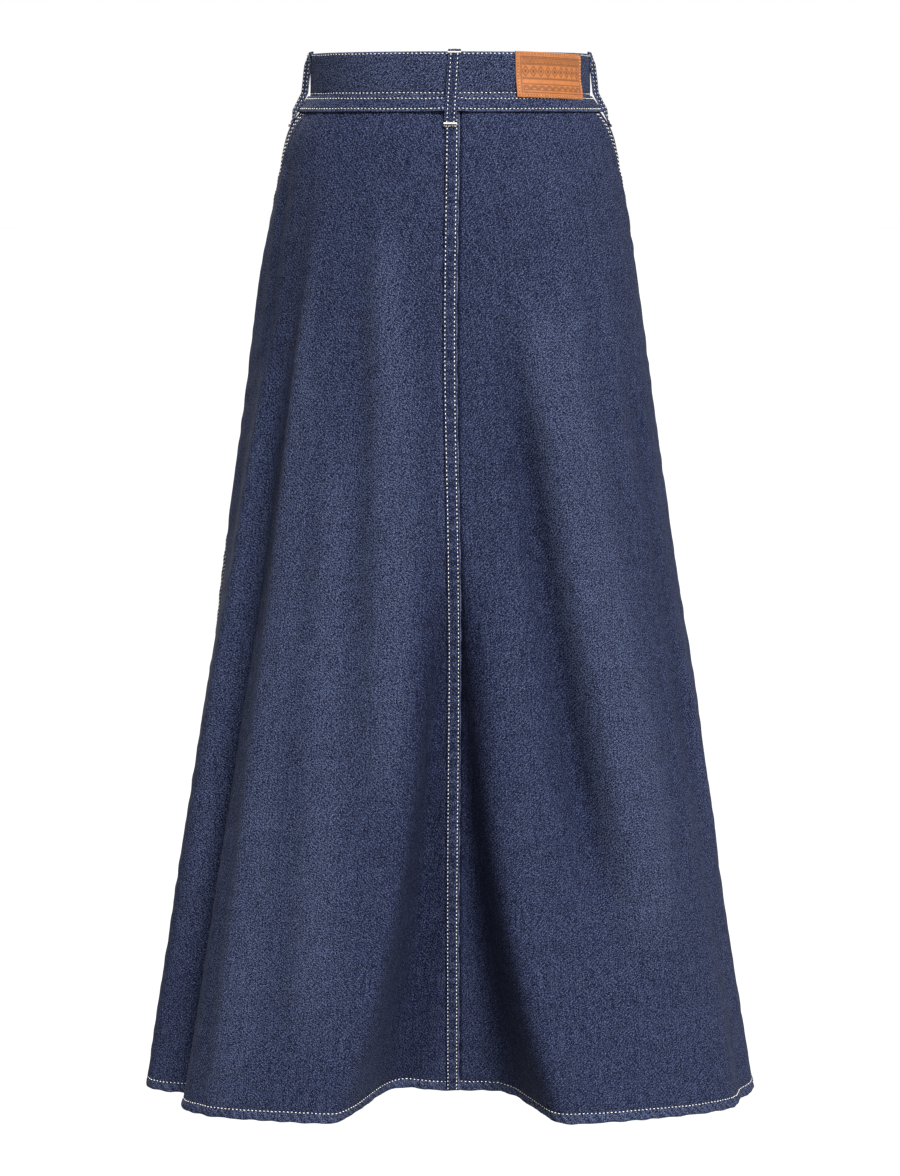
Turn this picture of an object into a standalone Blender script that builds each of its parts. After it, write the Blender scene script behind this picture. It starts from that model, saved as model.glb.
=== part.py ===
"""A long flared denim skirt in the shape that it has when worn, with no wearer: four panels, a
waistband, a narrow belt in five loops, a fly, a leather patch, a metal button and a buckle.

Metres, +Z up. The origin is the centre of the waist opening, at the waistband's mid height. The
skirt's front faces -Y, its back +Y, and its wearer's left is +X. Angles are in degrees round the
waist from the wearer's left side (0) through the centre back (90) to the centre front (270).
"""

import bmesh
import bpy
import numpy as np

MM = 0.001

# Cloth and make
CLOTH = 1.5 * MM              # wall of one panel
SEAM_GAP = 0.3 * MM           # between pieces that are sewn together
REST_GAP = 0.5 * MM           # between a curved piece and one that lies on it
BACK_LENGTH = 941 * MM        # waist seam to hem at the centre, straight down
SIDE_DROP = 23 * MM           # the hem hangs lower at the sides by this much
FELL_BEFORE = 4 * MM          # the lap of a centre seam starts this far before it, in rising angle
FELL_AFTER = 9 * MM           # and reaches this far past it
FELL_WALL = 1 * MM
FELL_START = 1.5 * MM         # the back lap starts this far below the waist seam

# Where the pieces meet, in degrees round the waist
LEFT_SIDE, CENTRE_BACK, RIGHT_SIDE, CENTRE_FRONT = 0, 90, 180, 270
SIDE_SEAM_BACK = 27           # how far back a side seam starts from where it hangs
SIDE_SEAM_FORWARD = 4         # how far in front of the side it hangs
SIDE_SEAM_CURVE = 90 * MM     # depth over which it swings forward

# The skirt's plain form, as oval sections: height, half width, half depth behind and in front of
# the side seams, and the power of the oval (2 is an ellipse, more is fuller at the corners).
HEIGHT, HALF_WIDTH, HALF_BACK, HALF_FRONT, FULLNESS = range(5)
SECTIONS = np.array([
    (-0.0195, 0.1285, 0.0945, 0.0945, 2.00),
    (-0.0440, 0.1470, 0.1035, 0.1000, 2.00),
    (-0.0900, 0.1590, 0.1170, 0.1070, 2.05),
    (-0.1500, 0.1695, 0.1265, 0.1130, 2.10),
    (-0.2200, 0.1795, 0.1330, 0.1180, 2.15),
    (-0.3200, 0.1935, 0.1390, 0.1250, 2.20),
    (-0.4500, 0.2130, 0.1450, 0.1340, 2.20),
    (-0.6000, 0.2385, 0.1520, 0.1450, 2.25),
    (-0.7500, 0.2620, 0.1585, 0.1560, 2.30),
    (-0.8800, 0.2830, 0.1640, 0.1660, 2.35),
    (-0.9900, 0.3020, 0.1680, 0.1740, 2.40),
])

# The folds. Angle where the fold starts and at the hem; share of the length where it starts, and
# between which it fades again (over 1: it lasts to the hem); half width in degrees where it
# starts and at the hem; squareness (2 is round, more has a flat floor); height at the hem, below
# zero for a valley; and the power with which it grows.
FOLDS = {
    # name:               (from, hem,  start, fade, gone, width, hem,  square, height, growth)
    "centre_back_valley": (90, 90, 0.40, 2, 3, 4.5, 15.6, 3.6, -90 * MM, 1.6),
    "left_back_valley": (38, 18.5, 0.12, 2, 3, 5, 9, 2.2, -56 * MM, 1.15),
    "left_back_flare": (22, 3, 0.30, 2, 3, 4, 6, 2, 4 * MM, 1.3),
    "left_back_crease": (67, 58, 0.17, 0.45, 0.75, 3.5, 5, 2, -16 * MM, 1.2),
    "left_back_ridge": (57, 50, 0.06, 0.5, 0.9, 6, 8, 2, 10 * MM, 1.1),
    "left_low_crease": (53, 48, 0.40, 0.62, 0.9, 3, 4, 2, -10 * MM, 1.1),
    "right_back_crease": (105, 128, 0.17, 0.62, 0.95, 4, 6, 2, -30 * MM, 1.4),
    "right_back_ridge": (128, 140, 0.10, 0.5, 0.95, 6, 10, 2, 14 * MM, 1.2),
    "right_side_valley": (152, 163, 0.50, 2, 3, 4, 7, 2, -9 * MM, 1.2),
    "right_front_side": (208, 199, 0.40, 2, 3, 4, 6, 2, -24 * MM, 1.3),
    "right_front_valley": (238, 230, 0.42, 2, 3, 4, 10, 2.4, -54 * MM, 1.5),
    "left_front_valley": (303, 308, 0.33, 2, 3, 4.5, 10, 2.6, -62 * MM, 1.5),
    "left_front_side": (338, 345, 0.48, 2, 3, 4, 6, 2, -20 * MM, 1.3),
}

# Waistband
BAND_HEIGHT = 39 * MM
BAND_WALL = 3 * MM
BAND_PROUD = 1 * MM           # waistband's face beyond the top of the panels
TAB_OVERLAP = 6.7             # degrees by which its tab passes the centre front
TAB_UNDERLAP = 13.3           # degrees by which its under end passes the centre front
TUCK_BEFORE = 20              # degrees before the tab's tip where the under end starts to tuck in
TUCK_RUN = 16                 # degrees over which it does

# Belt: a turned strap that lies just below the waist seam
BELT_TOP = -21.3 * MM
BELT_BOTTOM = -33.8 * MM
BELT_WALL = 2.2 * MM
# The belt's way round the skirt: angle, and its distance from the skirt's face in millimetres. It
# starts behind the buckle, lies over the fly and the back seam, comes round again, goes over the
# buckle's middle bar and ends as a tail that lies on its own start.
BELT_WAY = np.array([
    (270.8, 1.9), (284, 1.9), (296, 0.5), (360, 0.5), (442, 0.5), (446, 1.8), (454, 1.8),
    (458, 0.5), (540, 0.5), (606, 0.5), (618, 2.2), (626, 5.2), (630, 6.8), (634, 5.2),
    (638, 4.5), (645, 4.5), (657, 3.1), (666, 3.0), (682, 3.0),
])

# Buckle: a plain oblong frame of round wire with a middle bar and no tongue
BUCKLE_HALF_WIDTH = 10 * MM
BUCKLE_HALF_HEIGHT = 9 * MM
BUCKLE_WIRE = 1.1 * MM        # radius
BUCKLE_SQUARENESS = 5         # power of the frame's outline: 2 is an ellipse, more is squarer
BUCKLE_RIM_OUT = 9.2 * MM     # middle of the side bars' wire, from the skirt's face
BUCKLE_BAR_OUT = 5.5 * MM     # middle of the middle bar's wire, from the skirt's face

# Belt loops: angle round the waist, how far the loop bows out beyond the belt at its upper and its
# lower edge, and how far its top leans sideways from its foot, in rising angle
LOOPS = {
    "loop_back": (90, 0, 0, 4 * MM),
    "loop_left": (7, 3 * MM, 1.5 * MM, 0),
    "loop_right": (176, 3 * MM, 1.5 * MM, 0),
    "loop_front_left": (309, 0, 0, 0),
    "loop_front_right": (231, 0, 0, 0),
}
LOOP_WIDTH = 11.5 * MM
LOOP_WALL = 1.8 * MM
LOOP_HOOK = 2.4 * MM          # how far a loop's folded top reaches over the waistband
LOOP_EASE = 0.7 * MM          # a loop turns this far past the belt's edges
LOOP_FOOT = (-41 * MM, -47 * MM)

# Fly, patch and button
FLY_LAP = 4 * MM              # its edge passes the centre front by this much
FLY_WIDTH = 36 * MM
FLY_LENGTH = 165 * MM
FLY_FOOT_RISE = 32 * MM       # the fly is shorter at its outer edge, along a rounded foot
FLY_FOOT_CURVE = 3            # power of that curve
FLY_WALL = 1 * MM
PATCH_ANGLES = (117.6, 157.3)
PATCH_HEIGHTS = (18.5 * MM, -19.2 * MM)
PATCH_WALL = 1.3 * MM
# The button's turned profile, from its face's middle to its foot: radius and height above the
# waistband, in millimetres
BUTTON_PROFILE = [
    (0, 4.2), (4.5, 4.2), (6.0, 3.6), (7.4, 4.4), (8.4, 3.8), (8.6, 2.8), (8.0, 2.2),
    (3.2, 1.8), (3.2, 0.3), (0, 0.3),
]

# How finely the pieces are divided
PANEL_ROWS = 24
ROW_SPREAD = 1.25             # over 1: closer rows at the hip, where the form turns most
BACK_COLUMNS = 27
FRONT_COLUMNS = 19
BAND_COLUMNS = 77
BELT_STEP = 3.3               # degrees, at most
FLY_ROWS = 12
FLY_COLUMNS = 7
PATCH_COLUMNS = 13
BUCKLE_SIDES = 32
BUTTON_STEPS = 20
MERGE_DISTANCE = 0.02 * MM
SHARP_ANGLE = 40              # degrees


def smooth_step(value):
    """0 below 0, 1 above 1 and a smooth rise between them."""
    share = np.clip(value, 0, 1)
    return share * share * (3 - 2 * share)


def through_table(table, column, at):
    """A smooth curve through one column of a table whose first column falls or rises steadily."""
    rows = table if table[-1, 0] > table[0, 0] else table[::-1]
    places, values = rows[:, 0], rows[:, column]
    slopes = np.gradient(values, places)
    left = np.clip(np.searchsorted(places, at) - 1, 0, len(places) - 2)
    step = places[left + 1] - places[left]
    share = (at - places[left]) / step
    rise = share * share * (3 - 2 * share)
    return (values[left] * (1 - rise) + values[left + 1] * rise
            + step * share * (1 - share) * ((1 - share) * slopes[left] - share * slopes[left + 1]))


def hem_depth(angle):
    """Straight drop from the waist seam to the hem."""
    return BACK_LENGTH + SIDE_DROP * np.cos(np.radians(angle)) ** 4


def fold_height(angle, share):
    """Sum of the folds: each a rounded ridge or valley along a line that leans down the skirt."""
    total = 0.0
    for start, hem, begins, fades, gone, width, hem_width, square, height, growth in FOLDS.values():
        grown = np.clip((share - begins) / (1 - begins), 0, 1)
        middle = start + (hem - start) * grown
        half = width + (hem_width - width) * grown ** 2
        away = (angle - middle + 180) % 360 - 180
        across = np.exp(-np.log(2) * np.abs(away / half) ** square)
        lasting = 1 - smooth_step((share - fades) / (gone - fades))
        total = total + height * across * grown ** growth * lasting
    return total


def oval(angle, height):
    """Point and outward direction, both level, on the plain section at a height."""
    half_width, half_back, half_front, power = (
        through_table(SECTIONS, column, height)
        for column in (HALF_WIDTH, HALF_BACK, HALF_FRONT, FULLNESS))
    cosine, sine = np.cos(np.radians(angle)), np.sin(np.radians(angle))
    half_depth = half_front + (half_back - half_front) * (1 + sine) / 2
    reach = (np.abs(cosine) ** power + np.abs(sine) ** power) ** (-1 / power)
    point = np.stack([half_width * cosine * reach, half_depth * sine * reach], -1)
    normal = np.stack([
        half_depth * np.sign(cosine) * np.abs(cosine * reach) ** (power - 1),
        half_width * np.sign(sine) * np.abs(sine * reach) ** (power - 1)], -1)
    return point, normal / np.linalg.norm(normal, axis=-1, keepdims=True)


def skirt_face(angle, share):
    """The skirt's outer face at an angle and a share of the way from waist seam to hem."""
    angle, share = np.broadcast_arrays(angle, share)
    height = -BAND_HEIGHT / 2 - hem_depth(angle) * share
    point, normal = oval(angle, height)
    level = point + normal * fold_height(angle, share)[..., None]
    return np.concatenate([level, height[..., None]], -1)


def moved_out(angle, share, distance):
    """The skirt's face moved out along its own normal."""
    angle, share, distance = np.broadcast_arrays(angle, share, distance)
    turn, slip = 0.05, 0.0005
    across = skirt_face(angle + turn, share) - skirt_face(angle - turn, share)
    down = skirt_face(angle, share + slip) - skirt_face(angle, share - slip)
    normal = np.cross(down, across)
    normal /= np.linalg.norm(normal, axis=-1, keepdims=True)
    return skirt_face(angle, share) + normal * distance[..., None]


def share_at(angle, height):
    """Share of the way to the hem at a height."""
    return (-BAND_HEIGHT / 2 - height) / hem_depth(angle)


def degrees_for(length, angle, share):
    """Angle that a short length across the cloth spans at a place."""
    probe = 0.1
    span = skirt_face(angle + probe, share) - skirt_face(angle - probe, share)
    return length * 2 * probe / np.linalg.norm(span, axis=-1)


def band_point(angle, height, distance):
    """A point of the waistband: its upright oval face, moved out."""
    angle, height, distance = np.broadcast_arrays(angle, height, distance)
    point, normal = oval(angle, -BAND_HEIGHT / 2)
    level = point + normal * (BAND_PROUD + distance)[..., None]
    return np.concatenate([level, height[..., None]], -1)


def centre_seam(angle):
    """A seam that runs straight down at one angle."""
    return lambda share: np.full_like(share, angle)


def side_seam(side, back):
    """A seam that starts behind the side and swings forward; back is 1 or -1, the way to the
    centre back in rising angle."""
    def seam(share):
        depth = share * BACK_LENGTH
        swing = SIDE_SEAM_BACK * np.exp(-(depth / SIDE_SEAM_CURVE) ** 1.5) - SIDE_SEAM_FORWARD
        return side + back * swing
    return seam


def material(name, hex_colour, roughness, metallic=0.0):
    """A plain surface from an sRGB hex colour."""
    made = bpy.data.materials.new(name)
    made.use_nodes = True
    shader = made.node_tree.nodes["Principled BSDF"]
    srgb = np.array([int(hex_colour[i:i + 2], 16) / 255 for i in (0, 2, 4)])
    linear = np.where(srgb <= 0.04045, srgb / 12.92, ((srgb + 0.055) / 1.055) ** 2.4)
    shader.inputs["Base Color"].default_value = (*linear, 1)
    shader.inputs["Roughness"].default_value = roughness
    shader.inputs["Metallic"].default_value = metallic
    return made


def add_object(name, mesh, surface):
    """Puts a mesh into the skirt's collection under a node's name."""
    mesh.materials.append(surface)
    made = bpy.data.objects.new(name, mesh)
    skirt_collection.objects.link(made)
    return made


def cloth_solid(name, outside, inside, surface):
    """A closed wall between two grids of points, rows by columns, joined round their edges."""
    rows, columns = outside.shape[:2]
    outer = np.arange(rows * columns).reshape(rows, columns)
    inner = outer + rows * columns

    def quads(grid):
        return np.stack([grid[:-1, :-1], grid[1:, :-1], grid[1:, 1:], grid[:-1, 1:]], -1).reshape(-1, 4)

    def rim(edge, other):
        return np.stack([edge[:-1], edge[1:], other[1:], other[:-1]], -1)

    faces = np.concatenate([
        quads(outer),
        quads(inner)[:, ::-1],
        rim(outer[0], inner[0]),
        rim(outer[-1, ::-1], inner[-1, ::-1]),
        rim(outer[::-1, 0], inner[::-1, 0]),
        rim(outer[:, -1], inner[:, -1]),
    ])
    mesh = bpy.data.meshes.new(name)
    points = np.concatenate([outside.reshape(-1, 3), inside.reshape(-1, 3)])
    mesh.from_pydata(points.tolist(), [], faces.tolist())
    mesh.shade_smooth()
    add_object(name, mesh, surface)
    mesh.set_sharp_from_angle(angle=np.radians(SHARP_ANGLE))


def panel_rows():
    """Shares of the way down at which the panels have a row."""
    return (np.arange(PANEL_ROWS + 1) / PANEL_ROWS)[:, None] ** ROW_SPREAD


def panel(name, first_seam, last_seam, columns, first_lapped, last_lapped):
    """One panel between two seams, in the direction of rising angle. It has one more column under
    the strip of a lapped seam."""
    share = panel_rows()
    first, last = first_seam(share), last_seam(share)
    first = first + degrees_for(SEAM_GAP / 2, first, share)
    last = last - degrees_for(SEAM_GAP / 2, last, share)
    inner_first = first + degrees_for(FELL_AFTER, first, share) * first_lapped
    inner_last = last - degrees_for(FELL_BEFORE, last, share) * last_lapped
    angle = inner_first + (inner_last - inner_first) * np.linspace(0, 1, columns)
    if first_lapped:
        angle = np.concatenate([first, angle], 1)
    if last_lapped:
        angle = np.concatenate([angle, last], 1)
    cloth_solid(name, moved_out(angle, share, 0), moved_out(angle, share, -CLOTH), denim)


def fell_strip(name, middle, first_depth):
    """The lap of a flat-felled seam, from a depth below the waist seam to the hem: a strip made
    from the panels' points, moved out."""
    first_share = first_depth / BACK_LENGTH
    share = panel_rows()
    share = np.concatenate([[[first_share]], share[share[:, 0] > first_share]])
    angle = middle + degrees_for(1, middle, share) * np.array([-FELL_BEFORE, 0, FELL_AFTER])
    cloth_solid(
        name, moved_out(angle, share, SEAM_GAP + FELL_WALL), moved_out(angle, share, SEAM_GAP), denim)


def waistband():
    """One strip round the waist whose tab laps over its under end at the centre front."""
    start = CENTRE_FRONT - TAB_OVERLAP
    end = CENTRE_FRONT + 360 + TAB_UNDERLAP
    angle = np.linspace(start, end, BAND_COLUMNS)[None, :]
    height = np.array([BAND_HEIGHT / 2, SEAM_GAP - BAND_HEIGHT / 2])[:, None]
    tucked = smooth_step((angle - (start + 360 - TUCK_BEFORE)) / TUCK_RUN)
    face = -tucked * (BAND_WALL + SEAM_GAP)
    cloth_solid(
        "waistband", band_point(angle, height, face), band_point(angle, height, face - BAND_WALL), denim)


def belt_distance(angle):
    """How far the belt's inner face is from the skirt's face: eased from row to row of its way."""
    places, distances = BELT_WAY.T
    left = np.clip(np.searchsorted(places, angle) - 1, 0, len(places) - 2)
    rise = smooth_step((angle - places[left]) / (places[left + 1] - places[left]))
    return (distances[left] * (1 - rise) + distances[left + 1] * rise) * MM


def belt():
    """The strap, from its end behind the buckle once round the skirt to the tip of its tail."""
    places = BELT_WAY[:, 0]
    angle = np.concatenate([
        np.linspace(place, following, int(np.ceil((following - place) / BELT_STEP)), endpoint=False)
        for place, following in zip(places[:-1], places[1:])] + [places[-1:]])[None, :]
    share = share_at(angle, np.array([BELT_TOP, BELT_BOTTOM])[:, None])
    distance = belt_distance(angle)
    cloth_solid(
        "belt", moved_out(angle, share, distance + BELT_WALL), moved_out(angle, share, distance), denim)


def loop(name, angle, upper_slack, lower_slack, lean):
    """A belt loop: a strip that hooks over the waistband, runs straight down to the belt, over it
    and in to the panel, where its foot is tacked."""
    belt_angle = angle if angle > BELT_WAY[-1, 0] - 360 else angle + 360
    belt_face = belt_distance(belt_angle) + BELT_WALL + REST_GAP
    foot_lift = REST_GAP + (SEAM_GAP + FELL_WALL) * (angle == CENTRE_BACK)
    band_face = band_point(angle, 0, 0)[:2]
    direction = oval(angle, -BAND_HEIGHT / 2)[1]

    def beside(height, lift, up=0.0):
        place = moved_out(angle, share_at(angle, height), lift)
        return (place[:2] - band_face) @ direction, place[2] + up

    top = BAND_HEIGHT / 2 + SEAM_GAP
    inner = np.array([
        (-LOOP_HOOK, top),
        (SEAM_GAP, top),
        beside(BELT_TOP, belt_face + upper_slack, LOOP_EASE),
        beside(BELT_BOTTOM, belt_face + lower_slack, -LOOP_EASE),
        beside(LOOP_FOOT[0], foot_lift),
        beside(LOOP_FOOT[1], foot_lift),
    ])
    steps = np.diff(inner, axis=0)
    steps /= np.linalg.norm(steps, axis=1, keepdims=True)
    joined = np.concatenate([steps[:1], steps[:-1] + steps[1:], steps[-1:]])
    joined /= np.linalg.norm(joined, axis=1, keepdims=True)
    mitre = np.concatenate([[1], 1 / np.sqrt((1 + (steps[:-1] * steps[1:]).sum(1)) / 2), [1]])
    outer = inner + np.stack([-joined[:, 1], joined[:, 0]], -1) * (LOOP_WALL * mitre)[:, None]
    across = np.array([-direction[1], direction[0]])
    sides = np.array([-0.5, 0.5]) * LOOP_WIDTH

    def placed(line):
        risen = np.clip((line[:, 1] - LOOP_FOOT[1]) / (top - LOOP_FOOT[1]), 0, 1)
        sideways = (sides + lean * risen[:, None])[..., None]
        level = band_face + line[:, None, :1] * direction + sideways * across
        height = np.broadcast_to(line[:, None, 1:], level.shape[:2] + (1,))
        return np.concatenate([level, height], -1)

    cloth_solid(name, placed(outer), placed(inner), denim)


def fly():
    """The lapped fly on the left front: its edge just past the centre, its foot rounded."""
    across = np.linspace(0, 1, FLY_COLUMNS)[None, :]
    foot = FLY_LENGTH - FLY_FOOT_RISE * across ** FLY_FOOT_CURVE
    share = np.linspace(0, 1, FLY_ROWS)[:, None] * foot / BACK_LENGTH
    width = -FLY_LAP + (FLY_LAP + FLY_WIDTH) * across
    angle = CENTRE_FRONT + degrees_for(width, CENTRE_FRONT, share)
    cloth_solid(
        "fly", moved_out(angle, share, REST_GAP + FLY_WALL), moved_out(angle, share, REST_GAP), denim)


def patch():
    """The leather patch, flat against the waistband at the right of the back."""
    angle = np.linspace(*PATCH_ANGLES, PATCH_COLUMNS)[None, :]
    height = np.array(PATCH_HEIGHTS)[:, None]
    cloth_solid(
        "patch", band_point(angle, height, REST_GAP + PATCH_WALL), band_point(angle, height, REST_GAP),
        leather)


def button():
    """The tack button on the tab, turned from its profile about the line that faces forward."""
    mesh = bpy.data.meshes.new("button")
    profile = [(radius * MM, 0, height * MM) for radius, height in BUTTON_PROFILE]
    mesh.from_pydata(profile, [(i, i + 1) for i in range(len(profile) - 1)], [])
    made = add_object("button", mesh, metal)
    turned = made.modifiers.new("turned", "SCREW")
    turned.steps = turned.render_steps = BUTTON_STEPS
    turned.use_merge_vertices = True
    turned.merge_threshold = MERGE_DISTANCE
    turned.use_normal_calculate = True
    made.rotation_euler = (np.radians(90), 0, 0)
    made.location = band_point(CENTRE_FRONT, 0, 0)


def wire(name, points, closed):
    """A round wire along points, as a mesh with its caps welded."""
    curve = bpy.data.curves.new(name, "CURVE")
    curve.dimensions = "3D"
    curve.bevel_depth = BUCKLE_WIRE
    curve.bevel_resolution = 2
    curve.use_fill_caps = True
    spline = curve.splines.new("POLY")
    spline.points.add(len(points) - 1)
    for place, point in zip(spline.points, points):
        place.co = (*point, 1)
    spline.use_cyclic_u = closed
    guide = bpy.data.objects.new(name, curve)
    skirt_collection.objects.link(guide)
    mesh = bpy.data.meshes.new_from_object(guide.evaluated_get(bpy.context.evaluated_depsgraph_get()))
    mesh.name = name
    bpy.data.objects.remove(guide)
    shape = bmesh.new()
    shape.from_mesh(mesh)
    bmesh.ops.remove_doubles(shape, verts=shape.verts, dist=MERGE_DISTANCE)
    shape.to_mesh(mesh)
    shape.free()
    return mesh


def at_buckle(across, up, distance):
    """A point beside the buckle's middle: across the front, up the skirt's face and out from it."""
    share = share_at(CENTRE_FRONT, (BELT_TOP + BELT_BOTTOM) / 2 + up)
    angle = CENTRE_FRONT + degrees_for(across, CENTRE_FRONT, share)
    return moved_out(angle, share, distance)


def buckle():
    """The buckle: an oblong frame that dips to its middle bar, with the strap over that bar."""
    turn = np.radians(np.arange(BUCKLE_SIDES) * 360 / BUCKLE_SIDES)
    power = BUCKLE_SQUARENESS
    corner = (np.abs(np.cos(turn)) ** power + np.abs(np.sin(turn)) ** power) ** (-1 / power)
    across = BUCKLE_HALF_WIDTH * np.cos(turn) * corner
    up = BUCKLE_HALF_HEIGHT * np.sin(turn) * corner
    out = BUCKLE_BAR_OUT + (BUCKLE_RIM_OUT - BUCKLE_BAR_OUT) * (across / BUCKLE_HALF_WIDTH) ** 2
    made = add_object("buckle", wire("buckle", at_buckle(across, up, out), True), metal)
    bar_up = np.array([-BUCKLE_HALF_HEIGHT, 0, BUCKLE_HALF_HEIGHT])
    bar = wire("buckle_bar", at_buckle(0, bar_up, BUCKLE_BAR_OUT), False)
    bar_object = bpy.data.objects.new("buckle_bar_cutter", bar)
    bar_object.hide_render = True
    bar_object.display_type = "WIRE"
    cutter_collection.objects.link(bar_object)
    union = made.modifiers.new("middle bar", "BOOLEAN")
    union.operation = "UNION"
    union.object = bar_object


for old in list(bpy.data.objects):
    bpy.data.objects.remove(old)
skirt_collection = bpy.data.collections.new("denim_skirt")
cutter_collection = bpy.data.collections.new("cutters")
for collection in (skirt_collection, cutter_collection):
    bpy.context.scene.collection.children.link(collection)

denim = material("indigo_denim", "2b3a5e", 0.85)
leather = material("vegetable_tanned_leather", "b4713f", 0.6)
metal = material("antique_brass", "8a7350", 0.35, 1.0)

panel("back_left", side_seam(LEFT_SIDE, 1), centre_seam(CENTRE_BACK), BACK_COLUMNS, False, True)
panel("back_right", centre_seam(CENTRE_BACK), side_seam(RIGHT_SIDE, -1), BACK_COLUMNS, True, False)
panel("front_right", side_seam(RIGHT_SIDE, -1), centre_seam(CENTRE_FRONT), FRONT_COLUMNS, False, True)
panel("front_left", centre_seam(CENTRE_FRONT), side_seam(LEFT_SIDE + 360, 1), FRONT_COLUMNS, True, False)
fell_strip("back_seam", CENTRE_BACK, FELL_START)
fell_strip("front_seam", CENTRE_FRONT, FLY_LENGTH + SEAM_GAP)
waistband()
belt()
for loop_name, (loop_angle, upper, lower, sideways_lean) in LOOPS.items():
    loop(loop_name, loop_angle, upper, lower, sideways_lean)
fly()
patch()
button()
buckle()
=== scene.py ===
"""The looks of a long flared denim skirt in the shape that it has when worn, with no wearer: the
cloth's fine form, its seams and stitching, and the finish of every piece.

Metres, +Z up. The origin is the centre of the waist opening, at the waistband's mid height. The
skirt's front faces -Y, its back +Y, and its wearer's left is +X. Angles are in degrees round the
waist from the wearer's left side (0) through the centre back (90) to the centre front (270), so
that a rising angle runs to the right for whoever looks at the skirt from outside.
"""

import bpy
import numpy as np
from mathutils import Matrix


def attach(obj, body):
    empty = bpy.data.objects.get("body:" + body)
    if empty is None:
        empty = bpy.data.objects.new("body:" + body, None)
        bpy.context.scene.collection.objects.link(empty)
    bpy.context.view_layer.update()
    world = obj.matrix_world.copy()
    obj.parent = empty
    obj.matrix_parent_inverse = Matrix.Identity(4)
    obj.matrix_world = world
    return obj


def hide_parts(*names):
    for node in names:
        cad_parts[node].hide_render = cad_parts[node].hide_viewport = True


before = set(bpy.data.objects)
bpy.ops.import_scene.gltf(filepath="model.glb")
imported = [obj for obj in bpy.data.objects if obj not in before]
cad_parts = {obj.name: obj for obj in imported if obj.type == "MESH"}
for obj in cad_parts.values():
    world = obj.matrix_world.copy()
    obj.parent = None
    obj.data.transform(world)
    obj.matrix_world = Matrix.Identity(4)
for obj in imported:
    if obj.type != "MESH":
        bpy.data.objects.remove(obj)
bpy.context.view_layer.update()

# --- Panels -------------------------------------------------------------------------------------
# Four flared gores of indigo denim, pale on the reverse, joined down the centre back, the centre
# front and both sides. Each is cut with the grain down its middle; the hem is turned up twice and
# stitched through.
MM = 0.001
CLOTH = 1.5 * MM              # wall of one panel
SEAM_GAP = 0.3 * MM           # between pieces that are sewn together
BAND_HEIGHT = 39 * MM         # the waistband, whose lower edge is the waist seam
BACK_LENGTH = 941 * MM        # waist seam to hem at the centre, straight down
SIDE_DROP = 23 * MM           # the hem hangs lower at the sides by this much
LEFT_SIDE, CENTRE_BACK, RIGHT_SIDE, CENTRE_FRONT = 0, 90, 180, 270
SIDE_SEAM_BACK = 22           # degrees by which a side seam starts behind where it hangs
SIDE_SEAM_FORWARD = 4         # degrees by which it hangs in front of the side
SIDE_SEAM_CURVE = 90 * MM     # depth over which it swings forward
GIRTH = 250 * MM              # mean radius, to turn an angle into a length round the skirt

# The skirt's plain form, as oval sections: height, half width, half depth behind and in front of
# the side seams, and the power of the oval (2 is an ellipse, more is fuller at the corners).
HALF_WIDTH, HALF_BACK, HALF_FRONT, FULLNESS = range(1, 5)
SECTIONS = np.array([
    (-0.0195, 0.1285, 0.0945, 0.0945, 2.00),
    (-0.0440, 0.1470, 0.1035, 0.1000, 2.00),
    (-0.0900, 0.1590, 0.1170, 0.1070, 2.05),
    (-0.1500, 0.1695, 0.1265, 0.1130, 2.10),
    (-0.2200, 0.1795, 0.1330, 0.1180, 2.15),
    (-0.3200, 0.1935, 0.1390, 0.1250, 2.20),
    (-0.4500, 0.2130, 0.1450, 0.1340, 2.20),
    (-0.6000, 0.2385, 0.1520, 0.1450, 2.25),
    (-0.7500, 0.2620, 0.1585, 0.1560, 2.30),
    (-0.8800, 0.2830, 0.1640, 0.1660, 2.35),
    (-0.9900, 0.3020, 0.1680, 0.1740, 2.40),
])

# The folds. Angle where the fold starts and at the hem; share of the length where it starts, and
# between which it fades again (over 1: it lasts to the hem); half width in degrees where it
# starts and at the hem; squareness (2 is round, more has a flat floor); height at the hem, below
# zero for a valley; and the power with which it grows.
FOLDS = {
    # name:               (from, hem,  start, fade, gone, width, hem,  square, height, growth)
    "centre_back_valley": (90, 89.2, 0.40, 2, 3, 3.5, 15.8, 6.6, -90 * MM, 1.25),
    "left_back_valley": (38, 18.5, 0.12, 2, 3, 5, 9, 2.2, -56 * MM, 1.15),
    "left_back_flare": (22, 3, 0.30, 2, 3, 4, 6, 2, 4 * MM, 1.3),
    "left_back_crease": (67, 58, 0.17, 0.45, 0.75, 3.5, 5, 2, -16 * MM, 1.2),
    "left_back_ridge": (57, 50, 0.06, 0.5, 0.9, 6, 8, 2, 10 * MM, 1.1),
    "left_low_crease": (53, 48, 0.40, 0.62, 0.9, 3, 4, 2, -10 * MM, 1.1),
    "right_back_crease": (105, 128, 0.17, 0.62, 0.95, 4, 6, 2, -30 * MM, 1.4),
    "right_back_ridge": (128, 140, 0.10, 0.5, 0.95, 6, 10, 2, 14 * MM, 1.2),
    "right_side_valley": (152, 163, 0.50, 2, 3, 4, 7, 2, -9 * MM, 1.2),
    "right_front_side": (208, 199, 0.40, 2, 3, 4, 6, 2, -24 * MM, 1.3),
    "right_front_valley": (238, 230, 0.42, 2, 3, 4, 10, 2.4, -54 * MM, 1.5),
    "left_front_valley": (303, 308, 0.33, 2, 3, 4.5, 10, 2.6, -62 * MM, 1.5),
    "left_front_side": (338, 345, 0.48, 2, 3, 4, 6, 2, -20 * MM, 1.3),
}

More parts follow.
